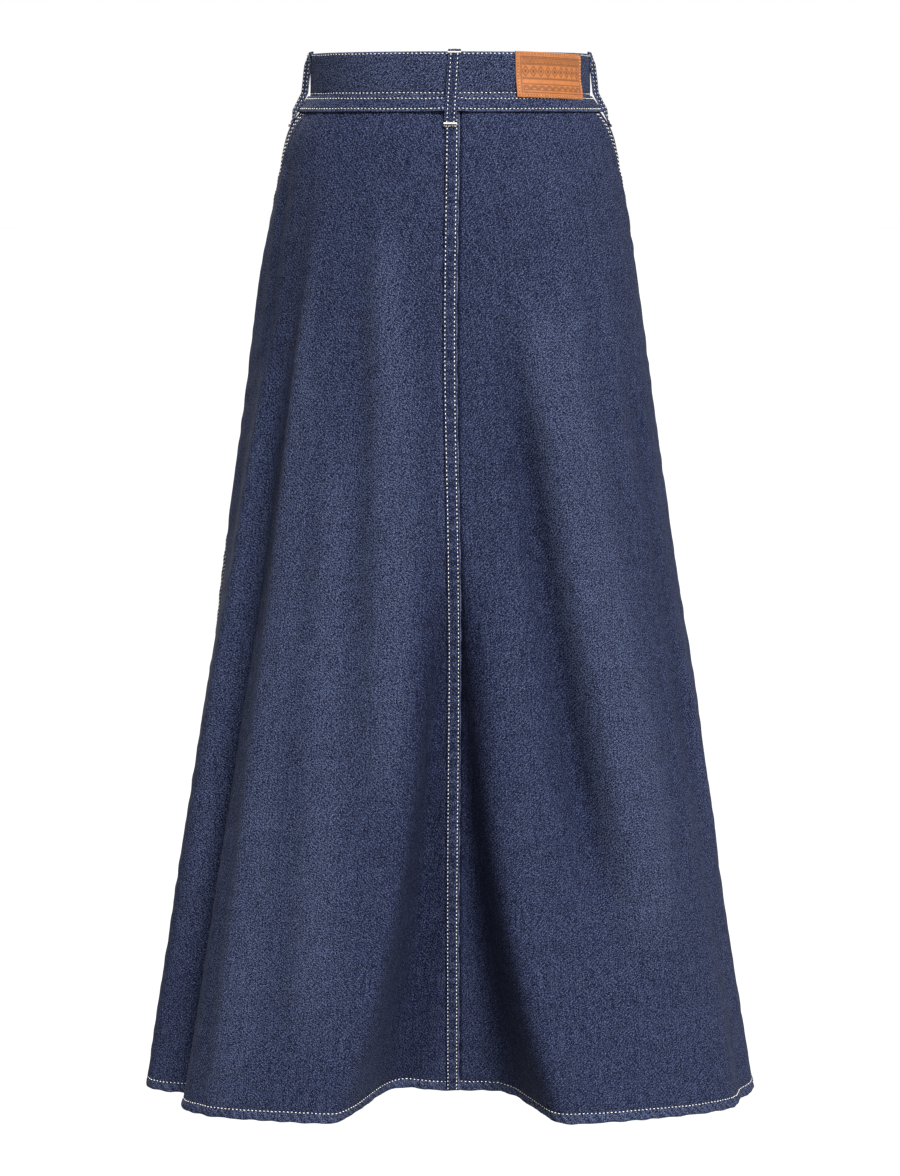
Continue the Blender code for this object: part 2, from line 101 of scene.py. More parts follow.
# Soft creases beside the folds, each along a bowed line. Angle and share of the length where it
# starts, the same where it ends, and degrees by which its middle bows out; half width in degrees
# before its crest and after it; and height in millimetres, below zero for a trough.
CREASES = np.array([
    (29, 0.18, 13, 0.92, -1, 3, 3, 4),
    (45, 0.06, 44.5, 1.1, 0, 2.5, 8, 9),
    (57.5, 0.26, 62, 1.0, 1, 3, 6, 7),
    (67.5, 0.06, 75, 0.74, 1.5, 3.5, 6, 9),
    (86.5, 0.16, 89, 0.58, 0, 2.2, 3, 2.5),
    (86, 0.38, 76, 1.15, 3, 3.5, 4.5, -11),
    (95, 0.42, 113, 1.12, -6, 3.8, 2.4, -14),
    (112, 0.14, 130, 0.88, 1.5, 4, 9, 14),
    (105.5, 0.2, 123, 0.82, 1.5, 4, 2.5, -8),
    (124, 0.03, 126, 0.3, 0, 3, 5, 2.5),
    (163, 0.5, 168, 0.78, 0, 3, 3, 3),
    (150, 0.22, 157, 0.72, 1, 5, 4, -3),
    (174, 0.12, 175, 0.7, 0, 5, 4, 2),
    (197, 0.14, 194, 0.6, 1, 4, 3, 5),
    (209, 0.06, 204, 0.5, -1, 5, 3, 6),
    (222, 0.1, 213, 0.7, -1, 6, 3.5, 7),
    (233, 0.38, 222, 1.15, 1, 3, 4, -9),
    (241, 0.36, 240, 1.15, 1, 4, 3, -9),
    (248, 0.12, 246, 0.66, 1, 3.5, 6, 7),
    (259, 0.3, 262, 0.9, 0, 5, 3, 5),
    (282, 0.1, 286, 0.7, 1, 3, 6, 6),
    (297, 0.28, 297, 1.15, -1, 2.5, 4, -10),
    (309, 0.3, 318, 1.15, -2, 4, 2.5, -10),
    (320, 0.07, 330, 0.66, 1.5, 4, 8, 8),
    (336, 0.46, 338, 1.0, 0, 4, 3, 4),
    (351, 0.1, 354, 0.56, 0, 4, 3, 5),
    (8, 0.08, 6, 0.5, 0, 3, 4, 4),
    (20, 0.04, 25, 0.28, 0, 3, 4, -3),
    (80, 0.03, 62, 0.16, 0, 1.8, 1.8, -0.9),
    (52, 0.1, 47, 0.42, 0, 1.6, 2.2, -1.2),
    (79, 0.2, 81, 0.6, 0, 1.6, 2.4, 1.4),
    (98, 0.04, 112, 0.18, 0, 2, 2, -0.9),
    (103, 0.4, 107, 0.86, 0, 2, 3, 1.6),
    (138, 0.06, 143, 0.42, 0, 2, 4, 1.6),
    (146, 0.44, 143, 0.82, 0, 3, 2, -1.4),
    (256, 0.06, 252, 0.3, 0, 2, 3, -1.2),
    (290, 0.2, 293, 0.5, 0, 2, 3, -1.4),
    (341, 0.14, 344, 0.5, 0, 3, 2, 1.5),
])

# The cloth's slow unevenness: waves round the skirt, waves down it, phase and height in millimetres
ROLLS = [(7, 1.3, 0.4, 0.50), (11, 2.1, 1.9, 0.40), (17, 3.7, 4.0, 0.30), (23, 5.2, 2.6, 0.22)]
# Fine crosswise ripples: their length down the cloth and round it and their height, in
# millimetres, and how far they slant: lengths down for each length round
RIPPLES = [(26, 75, 0.26, 0.10), (19, 48, 0.16, -0.16), (37, 110, 0.28, 0.22)]


def smooth_step(value):
    """0 below 0, 1 above 1 and a smooth rise between them."""
    share = np.clip(value, 0, 1)
    return share * share * (3 - 2 * share)


def bell(away, half):
    """1 in the middle, falling to a half at the given distance and to nothing beyond it."""
    return np.exp(-np.log(2) * (away / half) ** 2)


def uneven_wave(along, length, seed):
    """A sine wave of about the given length whose phase wanders, so that no two waves are alike."""
    turn = 2 * np.pi * along / length
    return np.sin(turn + 1.3 * np.sin(0.237 * turn + seed) + 0.9 * np.sin(0.091 * turn + 2.1 * seed))


def angle_off(angle, middle):
    """How far an angle is from another, between -180 and 180 degrees."""
    return (angle - middle + 180) % 360 - 180


def through_table(table, column, at):
    """A smooth curve through one column of a table whose first column falls or rises steadily."""
    rows = table if table[-1, 0] > table[0, 0] else table[::-1]
    places, values = rows[:, 0], rows[:, column]
    slopes = np.gradient(values, places)
    left = np.clip(np.searchsorted(places, at) - 1, 0, len(places) - 2)
    step = places[left + 1] - places[left]
    share = (at - places[left]) / step
    rise = share * share * (3 - 2 * share)
    return (values[left] * (1 - rise) + values[left + 1] * rise
            + step * share * (1 - share) * ((1 - share) * slopes[left] - share * slopes[left + 1]))


def hem_depth(angle):
    """Straight drop from the waist seam to the hem."""
    return BACK_LENGTH + SIDE_DROP * np.cos(np.radians(angle)) ** 4


def fold_height(angle, share):
    """Sum of the folds: each a rounded ridge or valley along a line that leans down the skirt."""
    total = 0.0
    for start, hem, begins, fades, gone, width, hem_width, square, height, growth in FOLDS.values():
        grown = np.clip((share - begins) / (1 - begins), 0, 1)
        middle = start + (hem - start) * grown
        half = width + (hem_width - width) * grown ** 2
        away = angle_off(angle, middle)
        across = np.exp(-np.log(2) * np.abs(away / half) ** square)
        lasting = 1 - smooth_step((share - fades) / (gone - fades))
        total = total + height * across * grown ** growth * lasting
    return total


def crease_height(angle, share):
    """Sum of the soft creases: across each line a bell, which may be steeper on one side, that
    swells over the first quarter of the line and fades over its last."""
    total = 0.0
    for start, top, end, foot, bow, before, after, height in CREASES:
        along = np.clip((share - top) / (foot - top), 0, 1)
        middle = start + (end - start) * along + bow * 4 * along * (1 - along)
        away = angle_off(angle, middle)
        lasting = smooth_step(4 * along) * smooth_step(4 * (1 - along))
        total = total + height * MM * lasting * bell(away, np.where(away < 0, before, after))
    return total


def roll_height(angle, share):
    """Sum of the rolls, each the product of a wave round the skirt and a wave down it, and of the
    ripples, each an uneven wave down that comes and goes with an uneven wave round."""
    turn = np.radians(angle)
    total = sum(
        height * np.sin(around * turn + phase) * np.sin(2 * np.pi * down * share + 2 * phase)
        for around, down, phase, height in ROLLS)
    round_mm, down_mm = turn * GIRTH / MM, share * BACK_LENGTH / MM
    for number, (down_length, round_length, height, slant) in enumerate(RIPPLES):
        wave = uneven_wave(down_mm + slant * round_mm, down_length, 3 * number + 1)
        coming = 0.5 + 0.5 * uneven_wave(round_mm + 0.7 * down_mm, round_length, 5 * number + 2)
        total = total + height * wave * coming
    return total * MM * smooth_step((share - 0.03) / 0.1)


def unit(vectors):
    """The same directions at length 1."""
    return vectors / np.linalg.norm(vectors, axis=-1, keepdims=True)


def oval(angle, height):
    """Point and outward direction, both level, on the plain section at a height."""
    half_width, half_back, half_front, power = (
        through_table(SECTIONS, column, height)
        for column in (HALF_WIDTH, HALF_BACK, HALF_FRONT, FULLNESS))
    cosine, sine = np.cos(np.radians(angle)), np.sin(np.radians(angle))
    half_depth = half_front + (half_back - half_front) * (1 + sine) / 2
    reach = (np.abs(cosine) ** power + np.abs(sine) ** power) ** (-1 / power)
    point = np.stack([half_width * cosine * reach, half_depth * sine * reach], -1)
    normal = np.stack([
        half_depth * np.sign(cosine) * np.abs(cosine * reach) ** (power - 1),
        half_width * np.sign(sine) * np.abs(sine * reach) ** (power - 1)], -1)
    return point, unit(normal)


def skirt_face(angle, share):
    """The skirt's outer face at an angle and a share of the way from waist seam to hem."""
    angle, share = np.broadcast_arrays(angle, share)
    height = -BAND_HEIGHT / 2 - hem_depth(angle) * share
    point, normal = oval(angle, np.minimum(height, -BAND_HEIGHT / 2))
    raised = fold_height(angle, share) + crease_height(angle, share) + roll_height(angle, share)
    return np.concatenate([point + normal * raised[..., None], height[..., None]], -1)


def face_normal(angle, share):
    """The skirt's outward direction: square to its slopes across and down."""
    turn, slip = 0.05, 0.0005
    across = skirt_face(angle + turn, share) - skirt_face(angle - turn, share)
    down = skirt_face(angle, share + slip) - skirt_face(angle, share - slip)
    return unit(np.cross(down, across))


def lifted(angle, share, distance):
    """Points over the skirt's face, moved out along its own normal, and that outward direction."""
    angle, share, distance = np.broadcast_arrays(angle, share, distance)
    outward = face_normal(angle, share)
    return skirt_face(angle, share) + outward * distance[..., None], outward


def moved_out(angle, share, distance):
    """The skirt's face moved out along its own normal."""
    return lifted(angle, share, distance)[0]


def degrees_for(length, angle, share):
    """Angle that a short length across the cloth spans at a place."""
    probe = 0.1
    span = skirt_face(angle + probe, share) - skirt_face(angle - probe, share)
    return length * 2 * probe / np.linalg.norm(span, axis=-1)


def centre_seam(angle, wander=0.0):
    """A seam down one angle, which wanders off it by so many degrees a fifth of the way down."""
    return lambda share: angle + wander * (bell(share - 0.22, 0.13) - 0.4 * bell(share - 0.52, 0.12))


def side_seam(side, back):
    """A seam that starts behind the side and swings forward; back is 1 or -1, the way to the
    centre back in rising angle."""
    def seam(share):
        depth = np.maximum(share, 0) * BACK_LENGTH
        swing = SIDE_SEAM_BACK * np.exp(-(depth / SIDE_SEAM_CURVE) ** 1.5) - SIDE_SEAM_FORWARD
        return side + back * swing
    return seam


BACK_SEAM_WANDER = -0.85      # degrees
left_seam = side_seam(LEFT_SIDE, 1)
back_seam = centre_seam(CENTRE_BACK, BACK_SEAM_WANDER)
right_seam = side_seam(RIGHT_SIDE, -1)
front_seam = centre_seam(CENTRE_FRONT)
# Each seam, and whether it is felled rather than pressed open
SEAMS = [(left_seam, False), (back_seam, True), (right_seam, False), (front_seam, True)]

HEM = 10 * MM                 # the hem's stitching runs this far above the edge
DITCH_PAINTED_SHADE = 0.9              # painted shade in a seam's ditch, on the wear scale of the denim
CREASE_PAINTED_SHADE = 0.45            # and in the trough of a deep crease, whose crest is painted a little lighter
FULL_SHADE_CREASE_DEPTH = 14 * MM      # the depth of such a crease, at which its painted shade is full
DITCH_DEPTH = 0.9 * MM        # a side seam sinks between its two raised allowances
DITCH_HALF = 0.8 * MM
ALLOWANCE = 9 * MM            # width of the allowances under a side seam
ALLOWANCE_RISE = 0.35 * MM
SEAM_PUCKER = 0.40 * MM       # the cloth ripples beside its seams
PUCKER_LENGTH = 21 * MM
PUCKER_REACH = 13 * MM
HEM_PUCKER = 0.45 * MM
HEM_PUCKER_LENGTH = 17 * MM
HEM_PUCKER_REACH = 20 * MM
WAIST_PUCKER = 0.5 * MM
WAIST_PUCKER_LENGTH = 27 * MM
WAIST_PUCKER_REACH = 24 * MM
ROW_SINK = 0.3 * MM           # a row of stitches pulls the cloth in by this much
ROW_SINK_HALF = 0.7 * MM
FELL_AFTER = 9 * MM           # a felled seam's fold lies this far past it, in rising angle
FOLD_DITCH = 0.9 * MM         # and bites into the cloth beside it
FOLD_DITCH_HALF = 1.0 * MM
FOLD_DITCH_PAST = 0.9 * MM    # the bite's middle lies this far past the fold
PAINTED_SHADOW_PAST_FOLD = 0.6 * MM    # the painted shadow line beside a felled fold lies this far past it
PAINTED_SHADOW_HALF = 1.3 * MM


def seam_away(seam, angle, share):
    """Distance across the cloth from a seam, above zero on its side of rising angle."""
    middle = seam(share)
    return angle_off(angle, middle) / degrees_for(1, middle, share)


def relief(angle, share):
    """What sewing does to the panels' face: ripples beside each seam and round hem and waist, the
    ditch of each side seam between its raised allowances, the bite of each felled fold, and the
    pull of the hem's row."""
    angle, share = np.broadcast_arrays(angle, share)
    down = share * BACK_LENGTH
    up = hem_depth(angle) * (1 - share)
    round_waist = np.radians(angle) * GIRTH
    total = HEM_PUCKER * np.exp(-up / HEM_PUCKER_REACH) * uneven_wave(
        round_waist + 0.3 * up, HEM_PUCKER_LENGTH, 5)
    total += WAIST_PUCKER * np.exp(-np.maximum(down, 0) / WAIST_PUCKER_REACH) * smooth_step(
        down / (12 * MM)) * uneven_wave(round_waist, WAIST_PUCKER_LENGTH, 2)
    total -= ROW_SINK * bell(up - HEM, ROW_SINK_HALF)
    for seed, (seam, felled) in enumerate(SEAMS):
        past = seam_away(seam, angle, share)
        away = np.abs(past)
        total += SEAM_PUCKER * np.exp(-away / PUCKER_REACH) * uneven_wave(
            down, PUCKER_LENGTH, 3.1 * seed + 1)
        if felled:
            total -= FOLD_DITCH * bell(past - FELL_AFTER - FOLD_DITCH_PAST, FOLD_DITCH_HALF)
        else:
            total += ALLOWANCE_RISE * smooth_step((ALLOWANCE + MM - away) / (2 * MM))
            total -= (DITCH_DEPTH + ALLOWANCE_RISE) * bell(away, DITCH_HALF)
    return total


def seam_painted_shade(angle, share):
    """Painted shade at the seams: full in their ditches and beside each felled fold, none away."""
    return sum(
        bell(seam_away(seam, angle, share) - felled * (FELL_AFTER + PAINTED_SHADOW_PAST_FOLD), PAINTED_SHADOW_HALF)
        for seam, felled in SEAMS)


def strip_faces(stations, around):
    """Corner numbers of a closed strip: rings of points carried from station to station. The first
    half of a ring runs along the strip's outer face and the second half back along its inner one,
    so rungs between the two halves close both ends. Also tells which faces are inner ones."""
    number = np.arange(stations * around).reshape(stations, around)
    following = np.roll(number, -1, axis=1)
    sides = np.stack([number[:-1], number[1:], following[1:], following[:-1]], -1).reshape(-1, 4)
    half = around // 2
    near = np.arange(half - 1)
    far = around - 1 - near
    first, last = number[0], number[-1]
    start = np.stack([first[near], first[near + 1], first[far - 1], first[far]], -1)
    end = np.stack([last[near + 1], last[near], last[far], last[far - 1]], -1)
    segment = np.arange(around)
    inner = np.tile((segment >= half) & (segment < around - 1), stations - 1)
    return np.concatenate([sides, start, end]), np.concatenate([inner, np.zeros(2 * (half - 1), bool)])


def strip(rings, flat, worn=0.0, backed=False):
    """One block of a mesh: the rings' points, their place on the flat cloth, how worn they are,
    their faces and each face's material, which is the second one on a backed strip's inner side."""
    stations, around = rings.shape[:2]
    faces, inner = strip_faces(stations, around)
    return {
        "points": rings.reshape(-1, 3),
        "flat": np.broadcast_to(flat, (stations, around, 2)).reshape(-1, 2),
        "worn": np.broadcast_to(worn, (stations, around)).reshape(-1),
        "faces": faces,
        "kind": inner * int(backed),
    }


def shell(outer, inner, flat, worn=0.0, backed=False):
    """A strip between two grids of points of one size. flat is the pair of its places on the flat
    cloth, across and along; the reverse of a backed strip isn't worn."""
    def there_and_back(going, coming):
        return np.concatenate([going, coming[:, ::-1]], 1)

    flat = np.stack([np.broadcast_to(axis, outer.shape[:2]) for axis in flat], -1)
    worn = np.broadcast_to(worn, outer.shape[:2])
    return strip(there_and_back(outer, inner), there_and_back(flat, flat),
                 there_and_back(worn, 0 * worn if backed else worn), backed)


def new_object(name, data):
    """Puts an object with the given mesh, lamp or camera into the scene."""
    made = bpy.data.objects.new(name, data)
    bpy.context.scene.collection.objects.link(made)
    return made


SHARP_ANGLE = 55              # degrees: sharper edges are drawn as edges


def add_piece(name, blocks, materials, replaced=()):
    """Makes one object from blocks, with its map, its wear and its finishes, that rides with the
    skirt and stands for the named solids."""
    starts = np.cumsum([0] + [len(block["points"]) for block in blocks[:-1]])
    points = np.concatenate([block["points"] for block in blocks])
    faces = np.concatenate([block["faces"] + start for block, start in zip(blocks, starts)])
    mesh = bpy.data.meshes.new(name)
    mesh.from_pydata(points.tolist(), [], faces.tolist())
    flat = np.concatenate([block["flat"] for block in blocks])
    layer = mesh.uv_layers.new(name="cloth")
    layer.uv.foreach_set("vector", flat[faces.ravel()].astype(np.float32).ravel())
    worn = mesh.attributes.new("worn", "FLOAT", "POINT")
    worn.data.foreach_set(
        "value", np.concatenate([block["worn"] for block in blocks]).astype(np.float32))
    for material in materials:
        mesh.materials.append(material)
    kind = np.concatenate([block["kind"] for block in blocks]).astype(np.int32)
    mesh.polygons.foreach_set("material_index", kind)
    mesh.shade_smooth()
    mesh.set_sharp_from_angle(angle=np.radians(SHARP_ANGLE))
    made = new_object(name, mesh)
    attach(made, "root")
    if replaced:
        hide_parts(*replaced)
    return made


def declare_cloth(piece, face, width=None):
    """Measures the outer face of a cloth piece, a grid of points: its steps along and across, and its
    width where none is given. A width is given where the grid's rows slant. Nothing is stated or
    returned, and piece is not used."""
    along, across = np.diff(face, axis=0), np.diff(face, axis=1)
    if width is None:
        width = np.linalg.norm(across, axis=-1).sum(1).max()


def linear(hex_colour):
    """An sRGB hex colour as linear red, green, blue and 1."""
    srgb = np.array([int(hex_colour[i:i + 2], 16) / 255 for i in (0, 2, 4)])
    return (*np.where(srgb <= 0.04045, srgb / 12.92, ((srgb + 0.055) / 1.055) ** 2.4), 1)


def add_node(tree, kind, settings=None, links=None):
    """Adds a node. settings are its own properties by name; links are values, or nodes or sockets
    to join on, by the name or number of its input."""
    node = tree.nodes.new(kind)
    for name, value in (settings or {}).items():
        setattr(node, name, value)
    for name, value in (links or {}).items():
        if isinstance(value, bpy.types.Node):
            value = value.outputs[0]
        if isinstance(value, bpy.types.NodeSocket):
            tree.links.new(value, node.inputs[name])
        else:
            node.inputs[name].default_value = value
    return node


def new_material(name):
    """An empty material: its node tree, with only the output left in it."""
    material = bpy.data.materials.new(name)
    material.use_nodes = True
    material.node_tree.nodes.clear()
    return material, material.node_tree


def finish_material(tree, links, bump=None, bump_depth=0.0):
    """Ends a material in one principled shader, over a bump of the given depth in metres."""
    if bump is not None:
        links = dict(links, Normal=add_node(
            tree, "ShaderNodeBump", None, {"Strength": 1.0, "Distance": bump_depth, "Height": bump}))
    shader = add_node(tree, "ShaderNodeBsdfPrincipled", None, links)
    add_node(tree, "ShaderNodeOutputMaterial", None, {"Surface": shader})


def mixed(tree, share, first, second):
    """The colour that goes from the first to the second as the share rises to 1."""
    return add_node(tree, "ShaderNodeMix", {"data_type": "RGBA"}, {
        "Factor": share, 6: first, 7: second}).outputs[2]


def worn_value(tree):
    """The wear that a piece's points carry, which on the denim also holds painted shade and painted
    light.
    """
    return add_node(tree, "ShaderNodeAttribute", {"attribute_name": "worn"}).outputs["Fac"]


def weighted_sum(tree, parts, start=0.0):
    """start plus each value times its weight, as a chain of nodes."""
    total = start
    for value, weight in parts:
        total = add_node(
            tree, "ShaderNodeMath", {"operation": "MULTIPLY_ADD"}, {0: value, 1: weight, 2: total})
    return total


TWILL_LEAN = 50               # degrees by which the twill's ribs lean from the warp
RIB_PITCH = 2.8               # mm; the real 0.9 is too fine to show
FLECK_SIZE = (0.85, 1.9)      # mm across and along the ribs: weft between them, drawn coarser too
STREAK_SIZE = (2.6, 9.0)      # mm: runs of paler and darker ribs
GRAIN_SIZE = (0.8, 0.8)       # mm: the yarn's own speckle, drawn coarser
SLUB_SIZE = (0.95, 30)        # mm: thick places of the warp yarn
CLOUD_SIZE = (80, 80)         # mm: slow change of the dye
BLOTCH_SIZE = (12, 12)
SPREAD = (0.33, 0.67)         # the range that a noise mostly keeps to


def denim(name, dark, middle, pale, worn_colour, contrast=1.0):
    """Rigid indigo denim, left-hand twill: indigo warp ribs, pale weft flecks between them, slubby
    yarn and slow clouds of dye. The attribute worn runs from -1, painted shade in the ditches of
    seams and the troughs of creases, to 1, rubbed pale on an edge."""
    material, tree = new_material(name)
    flat = add_node(tree, "ShaderNodeUVMap", {"uv_map": "cloth"})
    mm = add_node(tree, "ShaderNodeMapping", None, {"Vector": flat, "Scale": (1000, 1000, 1000)})
    ribs = add_node(tree, "ShaderNodeMapping", None, {
        "Vector": mm, "Rotation": (0, 0, -np.radians(TWILL_LEAN))})

    def noise(vector, size, detail, seed=0.0):
        placed = add_node(tree, "ShaderNodeMapping", None, {
            "Vector": vector, "Scale": (1 / size[0], 1 / size[1], 1), "Location": (seed, seed, seed)})
        raw = add_node(tree, "ShaderNodeTexNoise", {"noise_dimensions": "2D"}, {
            "Vector": placed, "Scale": 1.0, "Detail": detail, "Roughness": 0.55})
        return add_node(tree, "ShaderNodeMapRange", {"clamp": False}, {
            "Value": raw, "From Min": SPREAD[0], "From Max": SPREAD[1], "To Min": -1.0, "To Max": 1.0})

    rib = add_node(tree, "ShaderNodeTexWave", {"wave_type": "BANDS", "bands_direction": "X"}, {
        "Vector": ribs, "Scale": np.pi / 10 / RIB_PITCH, "Distortion": 3.0, "Detail": 1.0,
        "Detail Scale": 1.4})
    fleck = noise(ribs, FLECK_SIZE, 1.0)
    streak = noise(ribs, STREAK_SIZE, 1.0, 19.0)
    grain = noise(mm, GRAIN_SIZE, 1.0, 31.0)
    slub = noise(mm, SLUB_SIZE, 1.0, 57.0)
    cloud = noise(mm, CLOUD_SIZE, 2.0, 83.0)
    blotch = noise(mm, BLOTCH_SIZE, 1.0, 11.0)
    worn = worn_value(tree)
    # Painted shade and light: below 0 the wear value darkens the tone (seam ditches, crease troughs, lap
    # dips); up to 0.4 it lightens it (rubbed edges, painted crests and waistband)
    painted_shade_and_wear = add_node(tree, "ShaderNodeMath", {"operation": "MINIMUM"}, {0: worn, 1: 0.4})
    tone = weighted_sum(tree, [
        (rib, 0.13 * contrast), (fleck, 0.20 * contrast), (streak, 0.06 * contrast),
        (grain, 0.31 * contrast), (slub, 0.07 * contrast), (cloud, 0.012), (blotch, 0.012),
        (painted_shade_and_wear, 0.35)], 0.44)
    ramp = add_node(tree, "ShaderNodeValToRGB", None, {"Fac": tone})
    stops = ramp.color_ramp.elements
    stops[0].position, stops[0].color = 0.10, linear(dark)
    stops[1].position, stops[1].color = 0.95, linear(pale)
    stops.new(0.5).color = linear(middle)
    rubbed = weighted_sum(tree, [(fleck, 0.22), (grain, 0.25)], worn)
    rubbed = add_node(tree, "ShaderNodeMapRange", None, {
        "Value": rubbed, "From Min": 0.25, "From Max": 1.05, "To Min": 0.0, "To Max": 0.85})
    height = weighted_sum(tree, [(rib, 0.4), (fleck, 0.3), (grain, 0.3), (slub, 0.2)])
    finish_material(tree, {
        "Base Color": mixed(tree, rubbed, ramp, linear(worn_colour)), "Roughness": 0.9,
        "Specular IOR Level": 0.08}, height, 0.10 * MM)
    return material


# Rope-dyed ring-spun cotton, woven as a 3-by-1 twill: deep and matt, with pale specks
indigo_denim = denim("indigo_denim", "02030f", "0b0f25", "384058", "5a6277")
# The same cloth's reverse, where the undyed weft lies on top: pale, faintly blue
denim_reverse = denim("denim_reverse", "6c7388", "a0a6b4", "d8dade", "e2e4e8", 0.8)

ROW_STEP = 4 * MM             # between a panel's rows
BACK_COLUMNS, FRONT_COLUMNS = 84, 80
TOP_TUCK = 4 * MM             # the panels reach this far up behind the waistband's foot
# Distances from a seam at which a panel has columns of its own, in millimetres
SEAM_COLUMNS = np.array([0, 0.4, 0.9, 1.6, 2.6, 4, 6, 8, 9, 9.7, 10.4, 11.3, 13])
# The hem's section, from its outer edge upwards: height above the edge and distance out from the
# face, then the same for the turned-up inside, all in millimetres
HEM_OUTSIDE = np.array([
    (0, -1.4), (0.25, -0.75), (0.75, -0.2), (1.5, 0.1), (2.6, 0.28), (4, 0.35), (5.6, 0.35),
    (7.2, 0.25), (8.4, 0.1), (9.2, -0.1), (9.7, -0.25), (10.2, -0.3)])
HEM_INSIDE = np.array([
    (0, -1.6), (0.25, -2.25), (0.75, -2.75), (1.5, -3.0), (2.6, -3.15), (4, -3.2), (5.8, -3.2),
    (7.6, -3.15), (9.4, -3.1), (10.8, -3.0), (11.6, -2.7), (12.0, -2.2)])
HEM_STEP = 1.7 * MM           # between the hem's sections
HEM_EDGE_WAVER = 0.35 * MM    # the hem's edge rises and falls a little
HEM_EDGE_LENGTH = 23 * MM
ROPING = 0.45 * MM            # the hem twists into slanting ridges
ROPING_LENGTH = 8 * MM
ROPING_SLANT = 0.8            # how far a ridge runs on for each unit of height


def flat_map(outer, down):
    """Where a gore lies on the flat cloth: a slice of a flat ring, with each row's own length laid
    along its arc, even on both sides of the gore's middle."""
    across = np.linalg.norm(np.diff(outer, axis=1), axis=-1)
    along = np.concatenate([np.zeros((len(outer), 1)), np.cumsum(across, axis=1)], 1)
    width = along[:, -1]
    spread = (width[-1] - width[0]) / (down[-1].mean() - down[0].mean())
    radius = width[0] / spread + down
    turn = (along - width[:, None] / 2) / radius
    return (radius * np.sin(turn), -radius * np.cos(turn)), along


def panel(name, node, first_seam, last_seam, columns, lay):
    """A panel between two seams, in rising angle, with its hem. Its rows follow the waist and the
    hem; more columns stand close to its seams; the hem has its own finer sections. The cloth lies
    one way on the panels left of a centre seam (lay 1) and mirrored on those right of it (-1)."""
    rows = int(BACK_LENGTH / ROW_STEP)
    step_down = np.linspace(0, 1, rows)[:, None]
    guess = -TOP_TUCK / BACK_LENGTH + step_down
    first, last = first_seam(guess), last_seam(guess)
    near_first = first + degrees_for(1, first, guess) * (SEAM_GAP / 2 + SEAM_COLUMNS * MM)
    near_last = last - degrees_for(1, last, guess) * (SEAM_GAP / 2 + SEAM_COLUMNS[::-1] * MM)
    between = np.linspace(0, 1, columns)[1:-1]
    middle = near_first[:, -1:] + (near_last[:, :1] - near_first[:, -1:]) * between
    angle = np.concatenate([near_first, middle, near_last], 1)
    top, foot = -TOP_TUCK / BACK_LENGTH, 1 - HEM / hem_depth(angle)
    share = top + (foot - top) * step_down
    outer = moved_out(angle, share, relief(angle, share))
    inner = moved_out(angle, share, -CLOTH)
    down = share * hem_depth(angle)
    (flat_across, flat_down), along = flat_map(outer, down)
    flat = lay * flat_across, flat_down
    # Painted shade: darker in the seams' ditches and in the troughs of the creases, and a little lighter
    # on the creases' crests
    painted_shade_and_wear = -DITCH_PAINTED_SHADE * seam_painted_shade(angle, share) + CREASE_PAINTED_SHADE * np.clip(
        crease_height(angle, share) / FULL_SHADE_CREASE_DEPTH, -1, 0.4)
    body = shell(outer, inner, flat, painted_shade_and_wear, backed=True)

    # The hem, a closed strip of its own along the last row
    sections = int(along[-1, -1] / HEM_STEP)
    place = np.linspace(0, along[-1, -1], sections)
    hem_angle = np.interp(place, along[-1], angle[-1])[:, None]
    profile = np.concatenate([HEM_OUTSIDE, HEM_INSIDE[::-1]]) * MM
    up, out = profile[:, 0], profile[:, 1]
    seed = np.radians(hem_angle[0, 0])
    ridge = uneven_wave(place[:, None] + ROPING_SLANT * up, ROPING_LENGTH, seed)
    amount = smooth_step(up / (2 * MM)) * smooth_step((HEM - up) / (2 * MM))
    waver = HEM_EDGE_WAVER * uneven_wave(place[:, None], HEM_EDGE_LENGTH, seed + 2)
    raised = up + waver * (1 - smooth_step(up / HEM))
    hem_share = 1 - raised / hem_depth(hem_angle)
    puckered = relief(hem_angle, hem_share) * (np.arange(len(up)) < len(HEM_OUTSIDE))
    rings = moved_out(hem_angle, hem_share, out + ROPING * amount * ridge + puckered)
    spot = np.stack([np.interp(place, along[-1], axis[-1]) for axis in flat], -1)
    drop = (HEM - up)[:, None] * unit(spot)[:, None, :]
    worn = 0.20 * amount * (1 + ridge) + 0.55 * bell(up, 0.7 * MM)
    hem = strip(rings, spot[:, None, :] + drop, worn)
    declare_cloth(
        add_piece(name, [body, hem], [indigo_denim, denim_reverse], [node]), outer)


panel("back_left_cloth", "back_left", left_seam, back_seam, BACK_COLUMNS, 1)
panel("back_right_cloth", "back_right", back_seam, right_seam, BACK_COLUMNS, -1)
panel("front_right_cloth", "front_right", right_seam, front_seam, FRONT_COLUMNS, 1)
panel("front_left_cloth", "front_left", front_seam, side_seam(LEFT_SIDE + 360, 1), FRONT_COLUMNS, -1)

# --- Stitching of the panels --------------------------------------------------------------------
# Cream polyester topstitching: one row through the hem, and a row on each side of the side seams.
# A stitch comes up out of the cloth, lies on it and dives again.
THREAD = 0.34 * MM            # radius; the real 0.25 is too fine to show
STITCH_PITCH = 3.9 * MM       # the real 2.8 is too fine to show
STITCH_SHARE = 0.50           # of the pitch that one stitch covers
STITCH_SIDES = 6
STITCH_FLATNESS = 0.85        # a stitch is pulled a little flat
STITCH_OFF = 0.06 * MM        # how far a stitch lies off its row's line
STITCH_SLANT = 0.08 * MM      # and how far each of its ends does so again, one to each side
# Along one stitch: place as a share of its length, and height over the cloth in millimetres
STITCH_RINGS = np.array([(-0.5, -0.6), (-0.3, 0.12), (0.3, 0.12), (0.5, -0.6)])
EDGE_ROW = 2.2 * MM           # from a side seam to the row beside it
HEM_WAVER = 0.25 * MM


